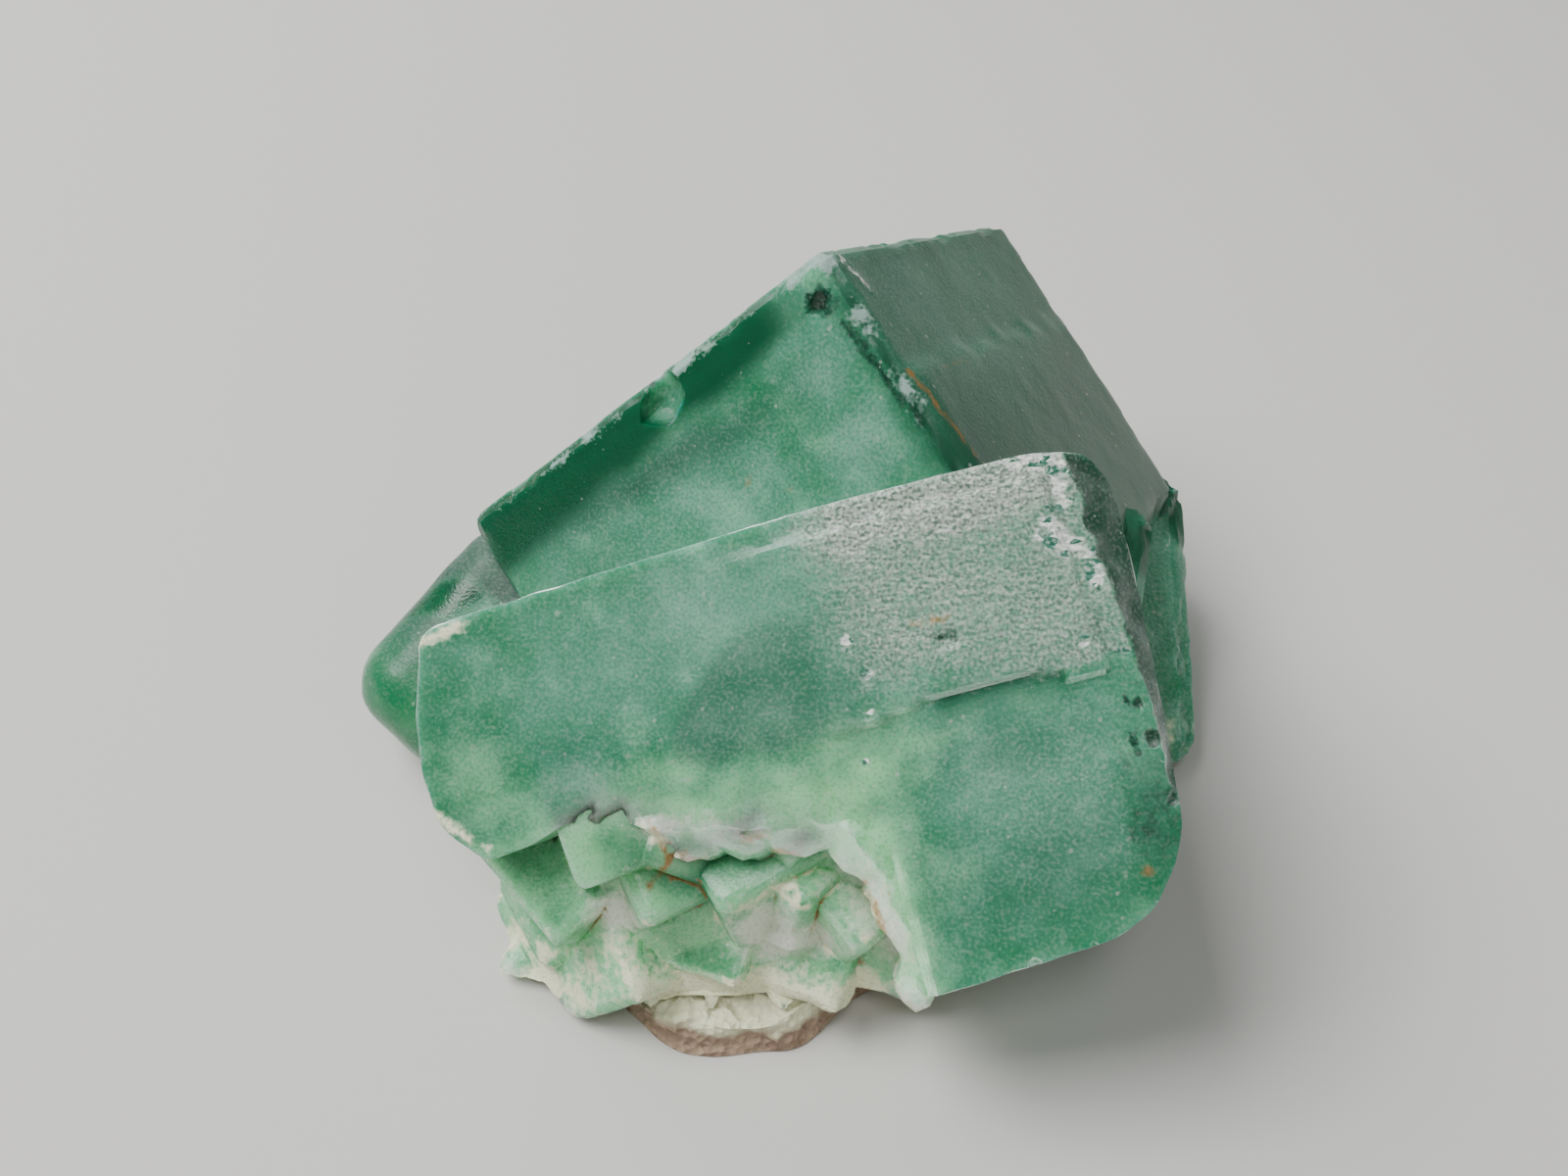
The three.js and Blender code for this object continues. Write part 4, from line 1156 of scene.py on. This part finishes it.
def fluorite_material(colours):
    """Fluorite, its faces grown and then etched in nature.

    The eye looks into the stone: light glows through its thin edges and turns deep green in its depth. Milky
    clouds soften that, etched faces are frosted, scaly ones carry a painted silver sheen, flakes carry
    painted glints, and crust and dust lie dull on top.
    """
    material, tree = new_material("fluorite_etched")
    places = add(tree, "TexCoord", {}, "Object")
    slanted = add(tree, "Mapping", {"Vector": places, "Rotation": (0.2, 0.3, 0.6), "Scale": (0.5, 1.0, 1.0)})
    share, cells = finish_shares(tree, places, slanted)
    # Painted shade: flake cells picked by chance take the shade colour, as if turned away from the light
    foil_painted_shade = add(tree, "MapRange", {"Value": cells, "From Min": 0.6, "From Max": 0.7})
    tint = {name: (*getattr(colours, name), 1.0) for name in ("clear", "dust", *FINISHES)}
    foil = {"Factor": foil_painted_shade, 6: tint["flake"], 7: tint["shade"]}
    tint["flake"] = add(tree, "Mix", foil, 2, data_type="RGBA")
    pits, frost, dust = frosting(tree, places, share)
    layers = [(share[name], tint[name]) for name in FINISHES]
    layers += [(pits, tint["worn"]), (frost, tint["dust"]), (dust, tint["dust"])]
    base, clear, rough = tint["clear"], CLEAR_STONE["clear"], CLEAR_STONE["rough"]
    for factor, over in layers:
        base = add(tree, "Mix", {"Factor": factor, 6: base, 7: over}, 2, data_type="RGBA")
    for name, finish in FINISHES.items():
        if "clear" in finish:
            clear = add(tree, "Mix", {"Factor": share[name], 2: clear, 3: finish["clear"]})
            rough = add(tree, "Mix", {"Factor": share[name], 2: rough, 3: finish["rough"]})
    dull = add(tree, "Math", {0: share["crust"], 1: share["bruise"]}, operation="MAXIMUM")
    dull = add(tree, "Math", {0: dull, 1: share["flake"]}, operation="MAXIMUM")
    skin = add(tree, "BsdfPrincipled", {
        "Base Color": base,
        "Roughness": rough,
        "Transmission Weight": clear,
        "IOR": REFRACTION,
        "Subsurface Weight": add(tree, "Math", {0: 1.0, 1: dull}, operation="SUBTRACT"),
        "Subsurface Scale": MILKY_REACH * MM,
        "Subsurface Radius": MILKY_SPREAD,
        "Normal": etched_normal(tree, places, slanted),
    })
    depth = add(tree, "VolumeAbsorption", {"Color": (*colours.depth, 1.0), "Density": ABSORPTION})
    add(tree, "OutputMaterial", {"Surface": skin, "Volume": depth})
    return material


def rock_material(colours):
    """Quartz and feldspar rock, broken: matt, pinkish grey grains among pale sugary ones, cream crust."""
    material, tree = new_material("granular_quartz_rock")
    places = add(tree, "TexCoord", {}, "Object")
    grain = add(tree, "TexVoronoi", {"Vector": places, "Scale": 1 / (ROCK_GRAIN * MM)}, "Distance")
    patch = add(tree, "TexNoise", {"Vector": places, "Scale": 1 / (ROCK_PATCHES * MM), "Detail": 6.0})
    mixed = {0: grain.node.outputs["Color"], 1: patch, 2: 0.1}
    mixed = add(tree, "Math", mixed, operation="MULTIPLY_ADD")
    tint = {"Factor": mixed, 6: (*colours.rock_dark, 1.0), 7: (*colours.rock_pale, 1.0)}
    base = add(tree, "Mix", tint, 2, data_type="RGBA")
    level = {0: patch, 1: 2.0 * MM, 2: add(tree, "SeparateXYZ", {"Vector": places}, "Z")}
    level = add(tree, "Math", level, operation="MULTIPLY_ADD")
    crust = add(tree, "MapRange", {"Value": level, "From Min": 1.9 * MM, "From Max": 2.6 * MM})
    base = add(tree, "Mix", {"Factor": crust, 6: base, 7: (*colours.crust, 1.0)}, 2, data_type="RGBA")
    bump = add(tree, "Bump", {"Height": grain, "Distance": 0.3 * MM, "Strength": 1.0})
    skin = add(tree, "BsdfPrincipled", {"Base Color": base, "Roughness": 0.8, "Normal": bump})
    add(tree, "OutputMaterial", {"Surface": skin})
    return material


def floor_material(tint):
    """Paper, uncoated: matt and pale, with no pattern that shows."""
    material, tree = new_material("uncoated_paper")
    skin = add(tree, "BsdfPrincipled", {"Base Color": (*tint, 1.0), "Roughness": 0.9})
    add(tree, "OutputMaterial", {"Surface": skin})
    return material


# The stage


def area_light(name, power, direction, distance, size):
    """A soft square light at a distance along a direction from the middle of the cluster, facing it."""
    lamp = bpy.data.lights.new(name, "AREA")
    lamp.size = size
    lamp.energy = power
    made = bpy.data.objects.new(name, lamp)
    out = Vector(direction).normalized()
    made.location = out * distance + Vector(CLUSTER_MIDDLE)
    made.rotation_euler = out.to_track_quat("Z", "Y").to_euler()
    bpy.context.scene.collection.objects.link(made)


def set_camera():
    """The camera, looking at the cluster from above its front."""
    lens = bpy.data.cameras.new("camera")
    lens.lens = CAMERA["lens"]
    lens.sensor_width = CAMERA["sensor"]
    lens.clip_start = CAMERA["nearest"]
    camera = bpy.data.objects.new("camera", lens)
    camera.location = CAMERA["place"]
    camera.rotation_euler = (math.radians(CAMERA["turn"]), 0, 0)
    bpy.context.scene.collection.objects.link(camera)
    bpy.context.scene.camera = camera


def set_room(strength):
    """Even white light all round."""
    world = bpy.data.worlds.new("studio")
    world.use_nodes = True
    background = world.node_tree.nodes["Background"]
    background.inputs["Color"].default_value = (1, 1, 1, 1)
    background.inputs["Strength"].default_value = strength
    bpy.context.scene.world = world


# The steps


class FLUORITE_OT_grow_crystals(bpy.types.Operator):
    """Grow the cluster's crystals as one closed mesh and give them their finishes"""

    bl_idname = "fluorite.grow_crystals"
    bl_label = "Grow crystals"

    def execute(self, context):
        cluster = crystal_object(context.scene.fluorite_sizes)
        mesh = cluster.data
        points, normals, edges = mesh_arrays(mesh)
        shares = finishes(points, normals, edges)
        for name, share in shares.items():
            mesh.attributes.new(name, "FLOAT", "POINT").data.foreach_set("value", share)
        points = crusted(points, normals, shares["crust"])
        mesh.vertices.foreach_set("co", ((points + ORIGIN_SHIFT) * MM).astype(np.float32).ravel())
        mesh.update()
        mesh.set_sharp_from_angle(angle=math.radians(SHARP_ANGLE))
        mesh.materials.clear()
        mesh.materials.append(fluorite_material(context.scene.fluorite_colours))
        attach(cluster, "root")
        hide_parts("fluorite_crystals")
        return {"FINISHED"}


class FLUORITE_OT_lay_host_rock(bpy.types.Operator):
    """Lay the crust of host rock that the crystals grew on"""

    bl_idname = "fluorite.lay_host_rock"
    bl_label = "Lay host rock"

    def execute(self, context):
        rock = rock_object()
        rock.data.materials.append(rock_material(context.scene.fluorite_colours))
        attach(rock, "root")
        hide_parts("matrix_rock")
        return {"FINISHED"}


class FLUORITE_OT_set_stage(bpy.types.Operator):
    """Set the floor, the lights and the camera"""

    bl_idname = "fluorite.set_stage"
    bl_label = "Set stage"

    def execute(self, context):
        stage = context.scene.fluorite_stage
        corners = FLOOR_REACH * np.array([(-1, -1, 0), (1, -1, 0), (1, 1, 0), (-1, 1, 0)])
        floor = new_object("floor", corners, [[0, 1, 2, 3]])
        floor.data.materials.append(floor_material(stage.floor))
        set_camera()
        set_room(stage.sky)
        for name, light in LIGHTS.items():
            area_light(name, getattr(stage, name), **light)
        return {"FINISHED"}


class FLUORITE_PT_cluster(bpy.types.Panel):
    """Sizes, colours and steps of the cluster"""

    bl_label = "Fluorite cluster"
    bl_space_type = "VIEW_3D"
    bl_region_type = "UI"
    bl_category = "Fluorite"

    def draw(self, context):
        scene = context.scene
        for group in (scene.fluorite_sizes, scene.fluorite_colours, scene.fluorite_stage):
            for name in group.__annotations__:
                self.layout.prop(group, name)
        for operator in OPERATORS:
            self.layout.operator(operator.bl_idname)


OPERATORS = (FLUORITE_OT_grow_crystals, FLUORITE_OT_lay_host_rock, FLUORITE_OT_set_stage)
CLASSES = (ClusterSizes, ClusterColours, StageSettings, *OPERATORS, FLUORITE_PT_cluster)


def register():
    for each in CLASSES:
        bpy.utils.register_class(each)
    bpy.types.Scene.fluorite_sizes = PointerProperty(type=ClusterSizes)
    bpy.types.Scene.fluorite_colours = PointerProperty(type=ClusterColours)
    bpy.types.Scene.fluorite_stage = PointerProperty(type=StageSettings)


def unregister():
    del bpy.types.Scene.fluorite_stage
    del bpy.types.Scene.fluorite_colours
    del bpy.types.Scene.fluorite_sizes
    for each in reversed(CLASSES):
        bpy.utils.unregister_class(each)


def main():
    register()
    for name in ("Cube", "Light", "Camera"):
        if name in bpy.data.objects:
            bpy.data.objects.remove(bpy.data.objects[name])
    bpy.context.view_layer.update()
    bpy.ops.fluorite.grow_crystals()
    bpy.ops.fluorite.lay_host_rock()
    bpy.ops.fluorite.set_stage()
    bpy.context.view_layer.update()


if __name__ == "__main__":
    main()
